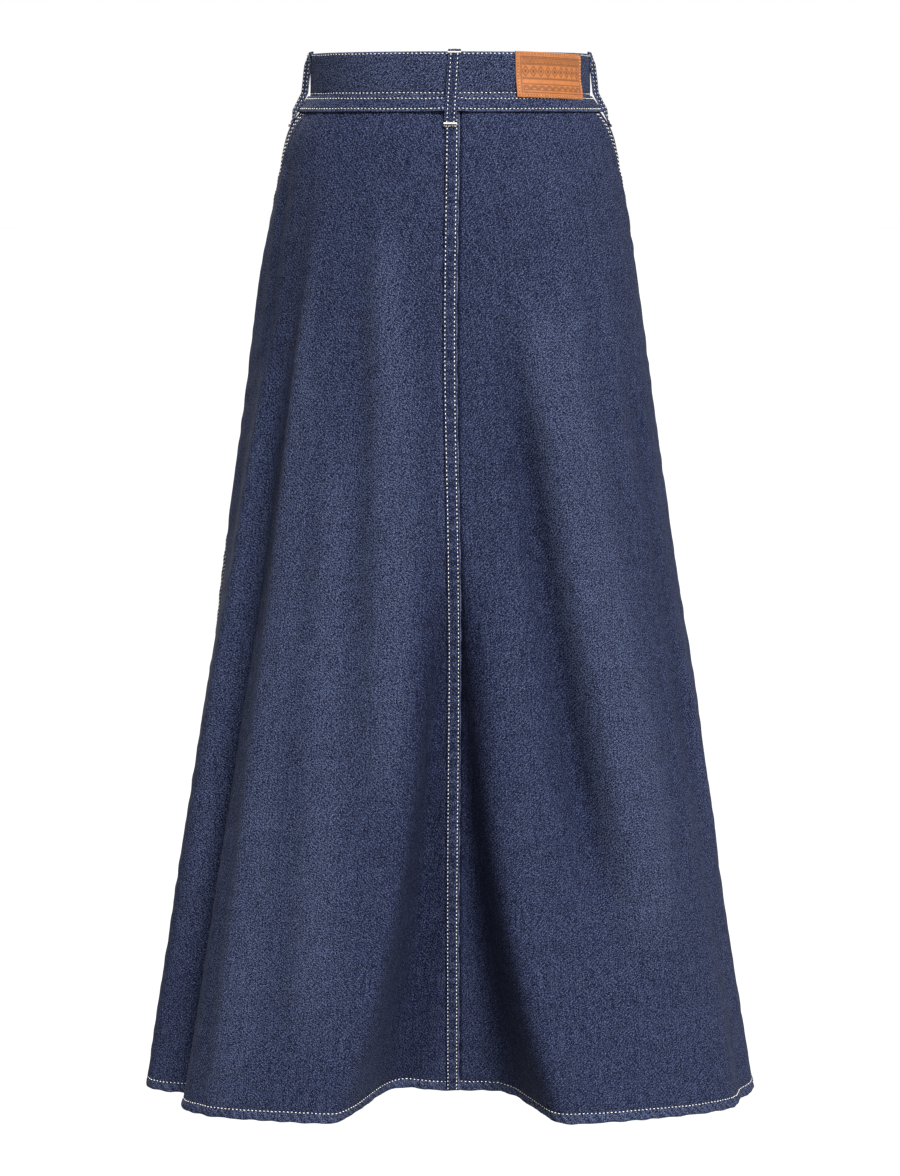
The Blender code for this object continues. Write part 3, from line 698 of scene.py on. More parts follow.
def distance_along(path):
    """Distance along a path from its first point to each of its points."""
    return np.concatenate([[0], np.cumsum(np.linalg.norm(np.diff(path, axis=0), axis=1))])


def columns_at(place, places, values):
    """Each column of a table, read off between its rows in straight lines."""
    return np.stack([np.interp(place, places, column) for column in values.T], -1)


def round_rings(centre, side, out, radius, count, flatness=1.0):
    """Rings of points about centres, from their two directions across; flatness is the share of the
    radius along the second."""
    turn = 2 * np.pi * np.arange(count) / count
    return centre[..., None, :] + radius * (
        side[..., None, :] * np.cos(turn)[:, None]
        + flatness * out[..., None, :] * np.sin(turn)[:, None])


def stitches(path, outward, pitch, seed, radius=THREAD):
    """A row of stitches along a path that lies on the cloth, as one block: each stitch is a round
    thread through four rings whose ends dive into the cloth, a little uneven and off the line."""
    length = distance_along(path)
    count = int(length[-1] / pitch)
    draw = np.random.default_rng(seed)
    size = pitch * STITCH_SHARE * draw.uniform(0.88, 1.08, count)
    share, height = STITCH_RINGS.T
    place = (np.arange(count) + 0.5)[:, None] * length[-1] / count + size[:, None] * share
    centre, out, along = (
        columns_at(place, length, values) for values in (path, outward, np.gradient(path, axis=0)))
    out, along = unit(out), unit(along)
    side = np.cross(along, out)
    off = draw.normal(0, STITCH_OFF, (count, 1)) + draw.normal(
        STITCH_SLANT, STITCH_SLANT, (count, 1)) * share * 2
    centre = centre + side * off[..., None] + out * (height * MM)[:, None]
    rings = round_rings(centre, side, out, radius, STITCH_SIDES, STITCH_FLATNESS)
    one = strip_faces(len(share), STITCH_SIDES)[0]
    each = np.arange(count)[:, None, None] * len(share) * STITCH_SIDES
    points = rings.reshape(-1, 3)
    return {
        "points": points,
        "flat": np.zeros((len(points), 2)),
        "worn": np.repeat(draw.uniform(0, 1, count), len(share) * STITCH_SIDES),
        "faces": (one + each).reshape(-1, 4),
        "kind": np.zeros(count * len(one), int),
    }


def speckle(tree, vector, size, detail, roughness=0.5):
    """Fine noise in three dimensions; size is the number of its specks in a metre."""
    return add_node(tree, "ShaderNodeTexNoise", None, {
        "Vector": vector, "Scale": size, "Detail": detail, "Roughness": roughness})


def thread(name, light, dark):
    """Spun sewing thread: soft, slightly lustrous, each stitch a shade of its own."""
    material, tree = new_material(name)
    place = add_node(tree, "ShaderNodeTexCoord")
    fuzz = speckle(tree, place.outputs["Object"], 1600.0, 2.0)
    tone = weighted_sum(tree, [(worn_value(tree), 0.6), (fuzz, 0.5)], -0.05)
    finish_material(tree, {
        "Base Color": mixed(tree, tone, linear(dark), linear(light)), "Roughness": 0.55,
        "Sheen Weight": 0.1, "Specular IOR Level": 0.3}, fuzz, 0.05 * MM)
    return material


cream_thread = thread("cream_polyester_thread", "dedad0", "b4aea0")

hem_angle = np.linspace(0.2, 359.8, 1800)
hem_line = HEM + HEM_WAVER * uneven_wave(np.radians(hem_angle) * GIRTH, 90 * MM, 4)
seam_share = np.linspace(0.006, 1 - HEM / BACK_LENGTH, 480)
row_ways = [(hem_angle, 1 - hem_line / hem_depth(hem_angle), 1)]
for seed, seam in enumerate((left_seam, right_seam)):
    for side in (-1, 1):
        seam_angle = seam(seam_share)
        seam_angle = seam_angle + side * degrees_for(EDGE_ROW, seam_angle, seam_share)
        row_ways.append((seam_angle, seam_share, 10 + 2 * seed + side))
add_piece("panel_stitching", [
    stitches(*lifted(angle, share, relief(angle, share)), STITCH_PITCH, seed)
    for angle, share, seed in row_ways], [cream_thread])

# --- Flat-felled laps ---------------------------------------------------------------------------
# The lap of the centre back seam, and of the centre front seam below the fly: the allowances of
# both panels folded into each other and sewn down with two rows. One side lies flush, the other is
# a raised fold, and the layers between the rows draw in like the rungs of a ladder.
FELL_BEFORE = 4 * MM          # the lap starts this far before the seam, in rising angle
FELL_HEIGHT = 1.15 * MM       # over the gap under the lap
FELL_START = 1.5 * MM         # the back lap starts this far below the waist seam
FELL_ROWS = np.array([-2.0, 6.5]) * MM
FELL_STEP = 2 * MM
# Across the lap, from the seam, in millimetres
FELL_ACROSS = np.array([
    -4.2, -3.9, -3.4, -2.7, -2, -1.3, -0.4, 0.8, 2.2, 3.6, 4.8, 5.8, 6.5, 7.2, 7.9, 8.4, 8.8, 9.0]) * MM
RUNG_PITCH = 12.5 * MM
RUNG_DEPTH = 0.45 * MM
FELL_MIDDLE = 2.2 * MM        # midway between the rows, from the seam
FELL_SWELL = 0.2 * MM         # the lap swells between its rows
FELL_ROW_SINK = 0.42 * MM     # and sinks along them
FLY_LENGTH = 165 * MM


def fell_height(across, down, seed):
    """The lap's height over the panels' face: it rises from its flush side, sinks along its rows,
    dips at each rung between them and rounds over at its fold."""
    rise = smooth_step((across + FELL_BEFORE + 0.4 * MM) / (1.6 * MM))
    fold = np.clip((across - FELL_AFTER + MM) / MM, 0, 1)
    height = SEAM_GAP + FELL_HEIGHT * rise * np.sqrt(1 - 0.9 * fold ** 2)
    height = height + FELL_SWELL * bell(across - FELL_MIDDLE, 2.4 * MM)
    for row in FELL_ROWS:
        height = height - FELL_ROW_SINK * bell(across - row, 0.6 * MM)
    rung = np.clip(uneven_wave(down, RUNG_PITCH, seed), 0, 1) ** 1.5
    return height - RUNG_DEPTH * rung * bell(across - FELL_MIDDLE, 2.6 * MM)


def sewn_piece(name, stitching_name, node, outer, inner, flat, worn, rows, threads=None, width=None):
    """A piece of denim between two grids of points, with its rows of stitches: makes both."""
    cloth = add_piece(name, [shell(outer, inner, flat, worn)], [indigo_denim], [node])
    stitching = add_piece(stitching_name, rows, threads or [cream_thread])
    declare_cloth(cloth, outer, width)


def felled_lap(name, node, seam, first_depth, seed):
    """A lap from a depth below the waist seam to the hem, and its two rows of stitches."""
    share = np.arange(first_depth, BACK_LENGTH - 0.2 * MM, FELL_STEP)[:, None] / BACK_LENGTH
    down = share * BACK_LENGTH
    middle = seam(share)
    degree = degrees_for(1, middle, share)
    waver = 0.3 * MM * uneven_wave(down, 31 * MM, seed) * smooth_step((FELL_ACROSS - 7 * MM) / (2 * MM))
    across = FELL_ACROSS + waver
    angle = middle + degree * across
    outer = moved_out(angle, share, fell_height(across, down, seed))
    inner = moved_out(angle, share, 0.1 * MM)
    rung = np.clip(-uneven_wave(down, RUNG_PITCH, seed), 0, 1)
    worn = 0.8 * bell(across - FELL_AFTER, 0.5 * MM) + 0.25 * rung * bell(across - FELL_MIDDLE, 3 * MM)
    # Painted shade: darker in the dips between the rungs and in a line at the foot of the lap's flush
    # side; the raised parts between the dips are rubbed paler
    worn = worn - 0.2 * (1 - rung) * bell(across - FELL_MIDDLE, 2.4 * MM)
    worn = worn - 0.6 * bell(across + FELL_BEFORE, MM)
    rows = [
        stitches(
            *lifted((middle + degree * row)[:, 0], share[:, 0], fell_height(row, down[:, 0], seed)),
            STITCH_PITCH, 20 + 10 * seed + number)
        for number, row in enumerate(FELL_ROWS)]
    sewn_piece(name + "_lap", name + "_lap_stitching", node, outer, inner, (across, -down), worn, rows)


felled_lap("back", "back_seam", back_seam, FELL_START, 1)
felled_lap("front", "front_seam", front_seam, FLY_LENGTH + SEAM_GAP, 2)

# --- Waistband ----------------------------------------------------------------------------------
# A straight strip of the same denim on the crosswise grain, folded over at its top edge, with one
# row of stitches along each edge; its tab laps over its under end at the centre front.
BAND_WALL = 3 * MM
BAND_PROUD = 1 * MM           # its face beyond the top of the panels
TAB_OVERLAP = 6.7             # degrees by which its tab passes the centre front
TAB_UNDERLAP = 13.3           # degrees by which its under end passes the centre front
TUCK_BEFORE = 20              # degrees before the tab's tip where the under end starts to tuck in
TUCK_RUN = 16                 # degrees over which it does
TIP_RUN = 0.6                 # degrees over which the tab's tip thins
BAND_RADIUS = 111.93 * MM     # mean radius of the waist
BAND_ROWS = np.array([-16.7, 17.7]) * MM
BAND_EDGE = 1.2 * MM          # how far its edges are rounded
BAND_STEP = 1.0               # degrees
# Slow unevenness: height and length in millimetres, slant, and the seed of its wander
BAND_WAVES = [(0.30, 61, 0.5, 3), (0.18, 23, -0.8, 8)]
BAND_RIPPLE = 0.22 * MM       # the band ripples along its rows
BAND_SEED = 700               # makes the rows' ripples differ
BAND_ROW_SINK = 0.38 * MM
# Across the band, from its foot to its top, in millimetres
BAND_ACROSS = np.array([
    -19.2, -19.0, -18.6, -18.0, -17.3, -16.7, -16.1, -14.8, -11.5, -7.5, -3.5, 0.5, 4.5, 8.5, 12, 15,
    16.7, 17.3, 17.7, 18.1, 18.6, 19.1, 19.4, 19.5]) * MM
DRAG_CREASE = ((88, 4), (75, -9))     # a pull from the back loop: angle and height (mm) of its ends
DRAG_DEPTH = 1.8                      # mm
DRAG_RIDGE = 1.1                      # mm: the height of the ridge above it


def rounded_off(away, half, run):
    """1 in the middle, falling to 0 at the half width along a quarter circle over the last run."""
    return np.sqrt(1 - np.clip((np.abs(away) - half + run) / run, 0, 1) ** 2)


def band_point(angle, height, distance):
    """A point of the waistband: its upright oval face, moved out."""
    angle, height, distance = np.broadcast_arrays(angle, height, distance)
    point, normal = oval(angle, -BAND_HEIGHT / 2)
    level = point + normal * (BAND_PROUD + distance)[..., None]
    return np.concatenate([level, height[..., None]], -1)


def band_relief(angle, height):
    """The band's form beyond its plain wall: slow unevenness, ripples along both rows, the rows'
    pull and one slanting crease."""
    along = np.radians(angle) * BAND_RADIUS
    total = sum(
        rise * MM * uneven_wave(along + slant * height, length * MM, seed)
        for rise, length, slant, seed in BAND_WAVES)
    for row in BAND_ROWS:
        ripple = BAND_RIPPLE * bell(height - row, 4 * MM) * uneven_wave(along, 11 * MM, BAND_SEED * row)
        total = total + ripple - BAND_ROW_SINK * bell(height - row, 0.6 * MM)
    (first, high), (last, low) = DRAG_CREASE
    run = (angle - first) / (last - first)
    away = height - (high + (low - high) * run) * MM
    crease = -DRAG_DEPTH * bell(away, 1.2 * MM) + DRAG_RIDGE * bell(away - 3.0 * MM, 1.8 * MM)
    return total + crease * MM * np.sin(np.pi * np.clip(run, 0, 1)) ** 0.7


def band_tuck(angle):
    """How far the band lies in from its face, where its under end passes behind the tab."""
    return smooth_step((angle - (BAND_START + 360 - TUCK_BEFORE)) / TUCK_RUN) * (BAND_WALL + SEAM_GAP)


BAND_START = CENTRE_FRONT - TAB_OVERLAP
BAND_END = CENTRE_FRONT + 360 + TAB_UNDERLAP
band_angle = np.arange(BAND_START, BAND_END, BAND_STEP)[:, None]
tucked = band_tuck(band_angle)
rounding = BAND_WALL / 2 * (1 - rounded_off(BAND_ACROSS, BAND_HEIGHT / 2, BAND_EDGE))
tip = np.clip(1 - (band_angle - BAND_START) / TIP_RUN, 0, 1) ** 2 * BAND_WALL / 2
outer = band_point(
    band_angle, BAND_ACROSS, band_relief(band_angle, BAND_ACROSS) - rounding - tucked - tip)
inner = band_point(band_angle, BAND_ACROSS, rounding - BAND_WALL - tucked + tip)
# Painted light: the whole band is painted lighter (the 0.18) for the light its upright face misses; its
# edges are rubbed pale
worn = 0.18 + 0.7 * bell(BAND_ACROSS - BAND_ACROSS[0], 0.7 * MM) + 0.3 * bell(
    BAND_ACROSS - BAND_ACROSS[-1], 0.8 * MM)


def band_line(angle, height):
    """A line over the waistband's worked face: its points and their outward directions."""
    angle, height = np.broadcast_arrays(angle, height)
    place = band_relief(angle, height) - band_tuck(angle)
    near, far = band_point(angle, height, place), band_point(angle, height, place + MM)
    return near, unit(far - near)


TIP_ROW = BAND_START + 1.2    # the row across the tab's tip
row_angle = np.linspace(TIP_ROW, BAND_END - 1, 1400)
band_rows = [
    stitches(*band_line(row_angle, row + 0.15 * MM * uneven_wave(
        np.radians(row_angle) * BAND_RADIUS, 70 * MM, 9)), STITCH_PITCH, 40 + number)
    for number, row in enumerate(BAND_ROWS)]
band_rows.append(stitches(*band_line(TIP_ROW, np.linspace(*BAND_ROWS, 60)), STITCH_PITCH, 43))
sewn_piece("waistband_strip", "waistband_stitching", "waistband", outer, inner,
           (-BAND_ACROSS, np.radians(band_angle) * BAND_RADIUS), worn, band_rows)

# --- Belt ---------------------------------------------------------------------------------------
# A narrow turned strap of the same denim, sewn along both edges, that lies just below the waist
# seam. It starts behind the buckle, over the fly, goes once round under the belt loops, and ends
# in a tail that lies over the buckle's middle bar.
BELT_TOP = -19.7 * MM         # heights
BELT_BOTTOM = -33.8 * MM
BELT_WALL = 2.2 * MM
BELT_RADIUS = BAND_RADIUS * 1.15
BELT_RIPPLE = 0.16 * MM
BELT_SEED = 900               # makes the rows' ripples differ
BELT_ROW_SINK = 0.34 * MM
# The belt's way: angle, and distance in millimetres from the skirt's face to its inner face
BELT_WAY = np.array([
    (270.8, 1.9), (284, 1.9), (296, 0.5), (360, 0.5), (442, 0.5), (446, 1.8), (454, 1.8),
    (458, 0.5), (540, 0.5), (606, 0.5), (618, 2.2), (626, 5.2), (630, 6.8), (634, 5.2),
    (638, 4.5), (645, 4.5), (657, 3.1), (666, 3.0), (682, 3.0),
])
BELT_CLEAR = 0.1 * MM
BELT_STEP = 1.1               # degrees
BELT_EDGE = 1.1 * MM
BELT_ROWS = np.array([-31.6, -22.6]) * MM
BELT_PITCH = 3.6 * MM
# Heights of the belt's points, from its foot to its top, in millimetres
BELT_ACROSS = np.array([
    -33.8, -33.65, -33.3, -32.8, -32.1, -31.6, -31.1, -30.2, -29, -27.5, -26, -24.4, -23.2, -22.6, -22,
    -21.2, -20.4, -19.9, -19.7]) * MM


def share_at(angle, height):
    """Share of the way to the hem at a height."""
    return (-BAND_HEIGHT / 2 - height) / hem_depth(angle)


def belt_distance(angle):
    """How far the belt's inner face is from the skirt's face: eased from row to row of its way."""
    places, distances = BELT_WAY.T
    left = np.clip(np.searchsorted(places, angle) - 1, 0, len(places) - 2)
    rise = smooth_step((angle - places[left]) / (places[left + 1] - places[left]))
    return (distances[left] * (1 - rise) + distances[left + 1] * rise) * MM


def belt_relief(angle, height):
    """The belt's outer form beyond its plain wall: its rows' pull and ripples between them."""
    along = np.radians(angle) * BELT_RADIUS
    total = BELT_RIPPLE * uneven_wave(along + height, 19 * MM, 6)
    for row in BELT_ROWS:
        total = total - BELT_ROW_SINK * bell(height - row, 0.55 * MM)
        ripple = uneven_wave(along, 9 * MM, BELT_SEED * row)
        total = total + BELT_RIPPLE * bell(height - row, 2 * MM) * ripple
    return total


def belt_line(angle, height, distance):
    """Points of the belt, at a distance from its inner face, with their outward directions. It
    rolls slowly about its middle line."""
    angle, height, distance = np.broadcast_arrays(angle, height, distance)
    lean = 0.3 * MM * uneven_wave(np.radians(angle) * BAND_RADIUS, 83 * MM, 4)
    lean = lean * (height - (BELT_TOP + BELT_BOTTOM) / 2) / (BELT_TOP - BELT_BOTTOM) * 2
    share = share_at(angle, height)
    return lifted(angle, share, belt_distance(angle) + distance + lean + BELT_CLEAR)


belt_angle = np.arange(BELT_WAY[0, 0], BELT_WAY[-1, 0] + 0.01, BELT_STEP)[:, None]
belt_rounding = BELT_EDGE * (1 - rounded_off(
    BELT_ACROSS - (BELT_TOP + BELT_BOTTOM) / 2, (BELT_TOP - BELT_BOTTOM) / 2, BELT_EDGE))
outer = belt_line(
    belt_angle, BELT_ACROSS, BELT_WALL - belt_rounding + belt_relief(belt_angle, BELT_ACROSS))[0]
inner = belt_line(belt_angle, BELT_ACROSS, belt_rounding)[0]
worn = 0.08 + 0.5 * bell(BELT_ACROSS - BELT_BOTTOM, 0.8 * MM) + 0.45 * bell(
    BELT_ACROSS - BELT_TOP, 0.6 * MM)
row_angle = np.linspace(BELT_WAY[0, 0] + 0.6, BELT_WAY[-1, 0] - 1, 1500)
belt_rows = [
    stitches(
        *belt_line(row_angle, row, BELT_WALL + belt_relief(row_angle, row)), BELT_PITCH, 50 + number)
    for number, row in enumerate(BELT_ROWS)]
belt_rows.append(stitches(*belt_line(
    BELT_WAY[-1, 0] - 1, np.linspace(*BELT_ROWS, 30), BELT_WALL), BELT_PITCH, 53))
sewn_piece("belt_strap", "belt_stitching", "belt", outer, inner,
           (-BELT_ACROSS, np.radians(belt_angle) * BELT_RADIUS), worn, belt_rows)

# --- Belt loops ---------------------------------------------------------------------------------
# Five narrow folded strips with two rows of stitches, hooked over the waistband's top edge and
# tacked there and on the panels below the belt with dense bars of thread. Their folds are rubbed
# pale, and the cut end frays a little under its tack.
REST_GAP = 0.5 * MM           # between a curved piece and one that lies on it
LOOPS = {
    # name: (angle, bow at the belt's upper and lower edge, how far its top leans, twist in degrees)
    "loop_back": (90, 0, 0, 4 * MM, 0),
    "loop_left": (7, 3 * MM, 0.5 * MM, 0, 22),
    "loop_right": (176, 3 * MM, 0.5 * MM, 0, -22),
    "loop_front_left": (309, 0, 0, 0, 0),
    "loop_front_right": (231, 0, 0, 0, 0),
}
LOOP_WIDTH = 11.5 * MM
LOOP_WALL = 1.8 * MM
LOOP_HOOK = 2.4 * MM          # how far a loop's folded top reaches over the waistband
LOOP_EASE = 0.7 * MM          # a loop turns this far past the belt's edges
LOOP_FOOT = (-41 * MM, -47 * MM)
LOOP_ROW = 3.1 * MM           # from a loop's middle to each of its rows
LOOP_ROW_SINK = 0.32 * MM
LOOP_PUCKER = 0.12 * MM
LOOP_EDGE = 0.9 * MM          # how far its side folds are rounded
LOOP_PITCH = 3.7 * MM
LOOP_STEP = 0.8 * MM
LOOP_SOFTNESS = 5             # steps over which its bends are rounded
TACK_LENGTH = 11 * MM         # across the loop
TACK_HEIGHT = 2.3 * MM
TACK_THREADS = 17
TACK_THREAD = 0.52 * MM       # radius; its threads lie on each other
TACK_LIFT = 0.2 * MM
TACK_BELOW_HOOK = 1.9 * MM    # the upper tack's middle, under the waistband's edge
TACK_OVER_FOOT = 2.4 * MM     # the lower one's, over the loop's cut end
MARKER_ENDS = 4               # ends of the tailor's orange marking thread, caught in each tack
MARKER_THREAD = 0.22 * MM     # radius
MARKER_SEED = 916
FRAY_ENDS = 26                # loose yarns of the cut end, under the lower tack
FRAY_THREAD = 0.16 * MM       # radius
FRAY_SEED = 990
# Across a loop, in millimetres
LOOP_ACROSS = np.array([
    -5.75, -5.6, -5.2, -4.5, -3.7, -3.1, -2.5, -1.2, 0, 1.2, 2.5, 3.1, 3.7, 4.5, 5.2, 5.6, 5.75]) * MM


def loop_side(angle, bow_top, bow_foot):
    """A loop's way seen from its side: the corners from its hook to its foot, as distances out from
    the waistband's face and heights; then that face's place, and its outward direction, both level."""
    belt_face = belt_distance(angle + 360) + BELT_WALL + REST_GAP
    foot_lift = REST_GAP + (SEAM_GAP + FELL_HEIGHT) * (angle == CENTRE_BACK)
    band_face = band_point(angle, 0, 0)[:2]
    direction = oval(angle, -BAND_HEIGHT / 2)[1]

    def beside(height, lift, up=0.0):
        place = moved_out(angle, share_at(angle, height), lift)
        return (place[:2] - band_face) @ direction, place[2] + up

    top = BAND_HEIGHT / 2 + SEAM_GAP
    corners = np.array([
        (-LOOP_HOOK, top),
        (SEAM_GAP, top),
        beside(BELT_TOP, belt_face + bow_top, LOOP_EASE),
        beside(BELT_BOTTOM, belt_face + bow_foot, -LOOP_EASE),
        beside(LOOP_FOOT[0], foot_lift),
        beside(LOOP_FOOT[1], foot_lift),
    ])
    return corners, band_face, direction


def loop_form(across, along, length):
    """A loop's thickness: rounded folds at its sides, its rows' pull, and puckers along it."""
    height = LOOP_WALL / 2 * (1 + rounded_off(across, LOOP_WIDTH / 2, LOOP_EDGE))
    height = height - LOOP_ROW_SINK * bell(np.abs(across) - LOOP_ROW, 0.55 * MM)
    return height + LOOP_PUCKER * uneven_wave(along, 7 * MM, 100 * length) * bell(across, 4 * MM)


marker_thread = thread("orange_cotton_marking_thread", "d97b2e", "a8541c")


def belt_loop(number, name, angle, bow_top, bow_foot, lean, twist):
    """One loop: its strap along its rounded way, and its rows, tacks, marking thread and fray."""
    corners, band_face, direction = loop_side(angle, bow_top, bow_foot)
    lengths = distance_along(corners)
    full = lengths[-1]
    along = np.arange(0, full, LOOP_STEP)
    way = columns_at(along, lengths, corners)
    weights = np.hanning(LOOP_SOFTNESS + 2)[1:-1]
    margin = LOOP_SOFTNESS // 2
    padded = np.pad(way, ((margin, margin), (0, 0)), mode="reflect", reflect_type="odd")
    way = np.stack([
        np.convolve(padded[:, axis], weights / weights.sum(), "valid") for axis in (0, 1)], -1)
    slope = unit(np.gradient(way, axis=0))
    off = np.stack([-slope[:, 1], slope[:, 0]], -1)
    beside = np.array([-direction[1], direction[0]])
    along = along[:, None]

    def loop_point(across, distance):
        """Points beside the loop's way: across it, and out from its inner face. It twists towards
        the back between its hook and its foot."""
        line = way[:, None] + off[:, None] * distance[..., None]
        risen = np.clip((line[..., 1] - LOOP_FOOT[1]) / (corners[0, 1] - LOOP_FOOT[1]), 0, 1)
        turned = np.radians(twist) * smooth_step(6 * risen - 0.6) * smooth_step(7 * (0.97 - risen))
        moved = across + lean * risen
        level = band_face + (line[..., :1] - (moved * np.sin(turned))[..., None]) * direction + (
            moved * np.cos(turned))[..., None] * beside
        return np.concatenate([level, line[..., 1:]], -1)

    def loop_line(across, place, lift):
        """A short line over the loop's face, and past its foot straight down: its points, lifted,
        and their outward directions."""
        spot = np.interp(place, along[:, 0], np.arange(len(along)))
        beyond = np.maximum(place - along[-1, 0], 0)
        low = np.minimum(spot.astype(int), len(along) - 2)
        part, pick = (spot - low)[:, None], np.arange(len(low))
        both = [
            loop_point(across[None, :], np.full((len(along), len(low)), LOOP_WALL + lift + more))
            for more in (0, MM)]
        near, far = (points[low, pick] * (1 - part) + points[low + 1, pick] * part for points in both)
        return near - beyond[:, None] * (0, 0, 1), unit(far - near)

    wide = np.broadcast_to(LOOP_ACROSS, (len(along), len(LOOP_ACROSS)))
    wavering = wide * (1 + 0.02 * uneven_wave(along, 17 * MM, number))
    height = loop_form(wide, along, full)
    outer, inner = loop_point(wavering, height), loop_point(wavering, LOOP_WALL - height)
    worn = 0.38 * bell(np.abs(wide) - LOOP_WIDTH / 2, 0.5 * MM)
    worn = np.maximum(worn, 0.9 * bell(along - full, 0.9 * MM))

    # Both rows, then each tack with its marking thread, then the fray
    rows = []
    first = int((LOOP_HOOK + 2 * MM) / LOOP_STEP)
    for side in (-1, 1):
        place = np.full((len(along), 1), side * LOOP_ROW)
        near, far = (
            loop_point(place, loop_form(place, along, full) + more)[first:-2, 0] for more in (0, MM))
        rows.append(stitches(near, unit(far - near), LOOP_PITCH, 60 + 2 * number + side))
    draw = np.random.default_rng(number)
    for tack, middle in enumerate((LOOP_HOOK + TACK_BELOW_HOOK, full - TACK_OVER_FOOT)):
        places = np.linspace(-0.5, 0.5, TACK_THREADS) * TACK_LENGTH
        leans = draw.uniform(0.1, 0.3, TACK_THREADS) * MM
        for bar, (place, bar_lean) in enumerate(zip(places, leans)):
            line = loop_line(
                place + bar_lean * np.linspace(-1, 1, 5),
                middle + TACK_HEIGHT * np.linspace(-0.62, 0.62, 5), TACK_LIFT)
            rows.append(stitches(
                *line, 1.2 * TACK_HEIGHT, 200 + 40 * number + 20 * tack + bar, TACK_THREAD))
        for place, height in zip(draw.uniform(-0.5, 0.5, MARKER_ENDS) * TACK_LENGTH,
                                 draw.uniform(-0.6, 0.6, MARKER_ENDS) * TACK_HEIGHT):
            line = loop_line(
                place + 0.5 * MM * np.linspace(-1, 1, 5), middle + height * np.ones(5), 0.75 * MM)
            block = stitches(*line, MM, MARKER_SEED, MARKER_THREAD)
            rows.append(dict(block, kind=block["kind"] + 1))
    for place, hang in zip(draw.uniform(-0.5, 0.5, FRAY_ENDS) * LOOP_WIDTH,
                           draw.uniform(0.5, 1.9, FRAY_ENDS) * MM):
        line = loop_line(
            place + draw.uniform(-0.6, 0.6) * MM * np.linspace(0, 1, 5),
            full - 0.6 * MM + hang * np.linspace(-0.3, 1, 5), draw.uniform(-0.9, 0.1) * MM)
        rows.append(stitches(*line, 1.3 * hang, FRAY_SEED, FRAY_THREAD))
    sewn_piece(name + "_strap", name + "_stitching", name, outer, inner, (wide, -along), worn, rows,
               [cream_thread, marker_thread])


for number, (name, row) in enumerate(LOOPS.items()):
    belt_loop(number, name, *row)

# --- Fly ----------------------------------------------------------------------------------------
# The left front's lapped fly: its edge just past the centre, its outer border sewn down with two
# rows that curve in to the seam at its foot.
FLY_LAP = 4 * MM              # its edge passes the centre front by this much
FLY_WIDTH = 36 * MM
FLY_FOOT_RISE = 32 * MM       # the fly is shorter at its outer edge, along a rounded foot
FLY_FOOT_CURVE = 3            # power of that curve
FLY_WALL = 1 * MM
FLY_ROWS, FLY_COLUMNS = 84, 24
# Its two curved rows: their share of the way across and down, and the seed of their stitches
FLY_BORDER_ROWS = [(0.94, 0.985, 80), (0.78, 0.865, 81)]
FLY_EDGE_ROW = 0.07           # share of the way across of the row beside its edge


def fly_place(across, down):
    """Angle and share of a place on the fly: shares of the way across it and down it."""
    foot = FLY_LENGTH - FLY_FOOT_RISE * across ** FLY_FOOT_CURVE
    share = down * foot / BACK_LENGTH
    width = (FLY_LAP + FLY_WIDTH) * across - FLY_LAP
    return CENTRE_FRONT + degrees_for(width, CENTRE_FRONT, share), share


def fly_height(across, down):
    """The fly's height over the panel: a rounded fold at the centre, thinning to its sewn border."""
    fold = np.clip(1 - across / 0.02, 0, 1)
    edge = smooth_step((1 - across) / 0.06) * smooth_step((1 - down) / 0.02)
    wall = FLY_WALL * (1 - 0.25 * across)
    return REST_GAP + wall * np.sqrt(1 - 0.8 * fold ** 2) * (0.35 + 0.65 * edge)


across = np.linspace(0, 1, FLY_COLUMNS)[None, :] ** 1.3
down = np.linspace(0, 1, FLY_ROWS)[:, None]
angle, share = fly_place(across, down)
outer = moved_out(angle, share, fly_height(across, down))
inner = moved_out(angle, share, 0.1 * MM)
flat = across * (FLY_LAP + FLY_WIDTH), -share * BACK_LENGTH
worn = 0.7 * bell(across, 0.018)
# Its rows: two that curve in from the border to the foot, and one beside the edge
turn = np.linspace(0, 1, 120)
row_ways = [
    (border * np.clip(2.2 * (1 - turn), 0, 1) ** 0.6, np.minimum(turn * 1.75, 1) * foot, seed)
    for border, foot, seed in FLY_BORDER_ROWS]
row_ways.append((np.full(100, FLY_EDGE_ROW), np.linspace(0, 0.97, 100), 83))
fly_rows = [
    stitches(*lifted(*fly_place(across, down), fly_height(across, down)), STITCH_PITCH, seed)
    for across, down, seed in row_ways]
sewn_piece("fly_lap", "fly_stitching", "fly", outer, inner, flat, worn, fly_rows,
           width=FLY_LAP + FLY_WIDTH)

# --- Button -------------------------------------------------------------------------------------
# A tack button of antique brass on the waistband's tab: stamped with a domed middle, a ring of
# beads and a rolled rim, on a shank that passes through the buttonhole.
# Its turned profile, from its face's middle to its foot: radius and height in millimetres
BUTTON_PROFILE = np.array([
    (0.05, 4.20), (0.8, 4.18), (1.6, 4.08), (2.4, 3.88), (3.0, 3.66), (3.4, 3.56), (3.8, 3.60),
    (4.3, 3.68), (4.8, 3.70), (5.3, 3.66), (5.8, 3.58), (6.2, 3.62), (6.6, 3.90), (7.0, 4.22),
    (7.4, 4.38), (7.8, 4.36), (8.2, 4.12), (8.5, 3.70), (8.6, 3.20), (8.5, 2.70), (8.2, 2.34),
    (7.6, 2.14), (6.0, 2.00), (3.6, 1.84), (3.25, 1.60), (3.2, 1.2), (3.2, 0.3), (0.05, 0.3)]) * MM
BUTTON_STEPS = 96
BEADS = 24
BEAD_RING = 4.8 * MM
BEAD_HEIGHT = 0.25 * MM
BUTTON_GROOVES = np.array([3.4, 6.0]) * MM    # radii at which its face is dark with tarnish

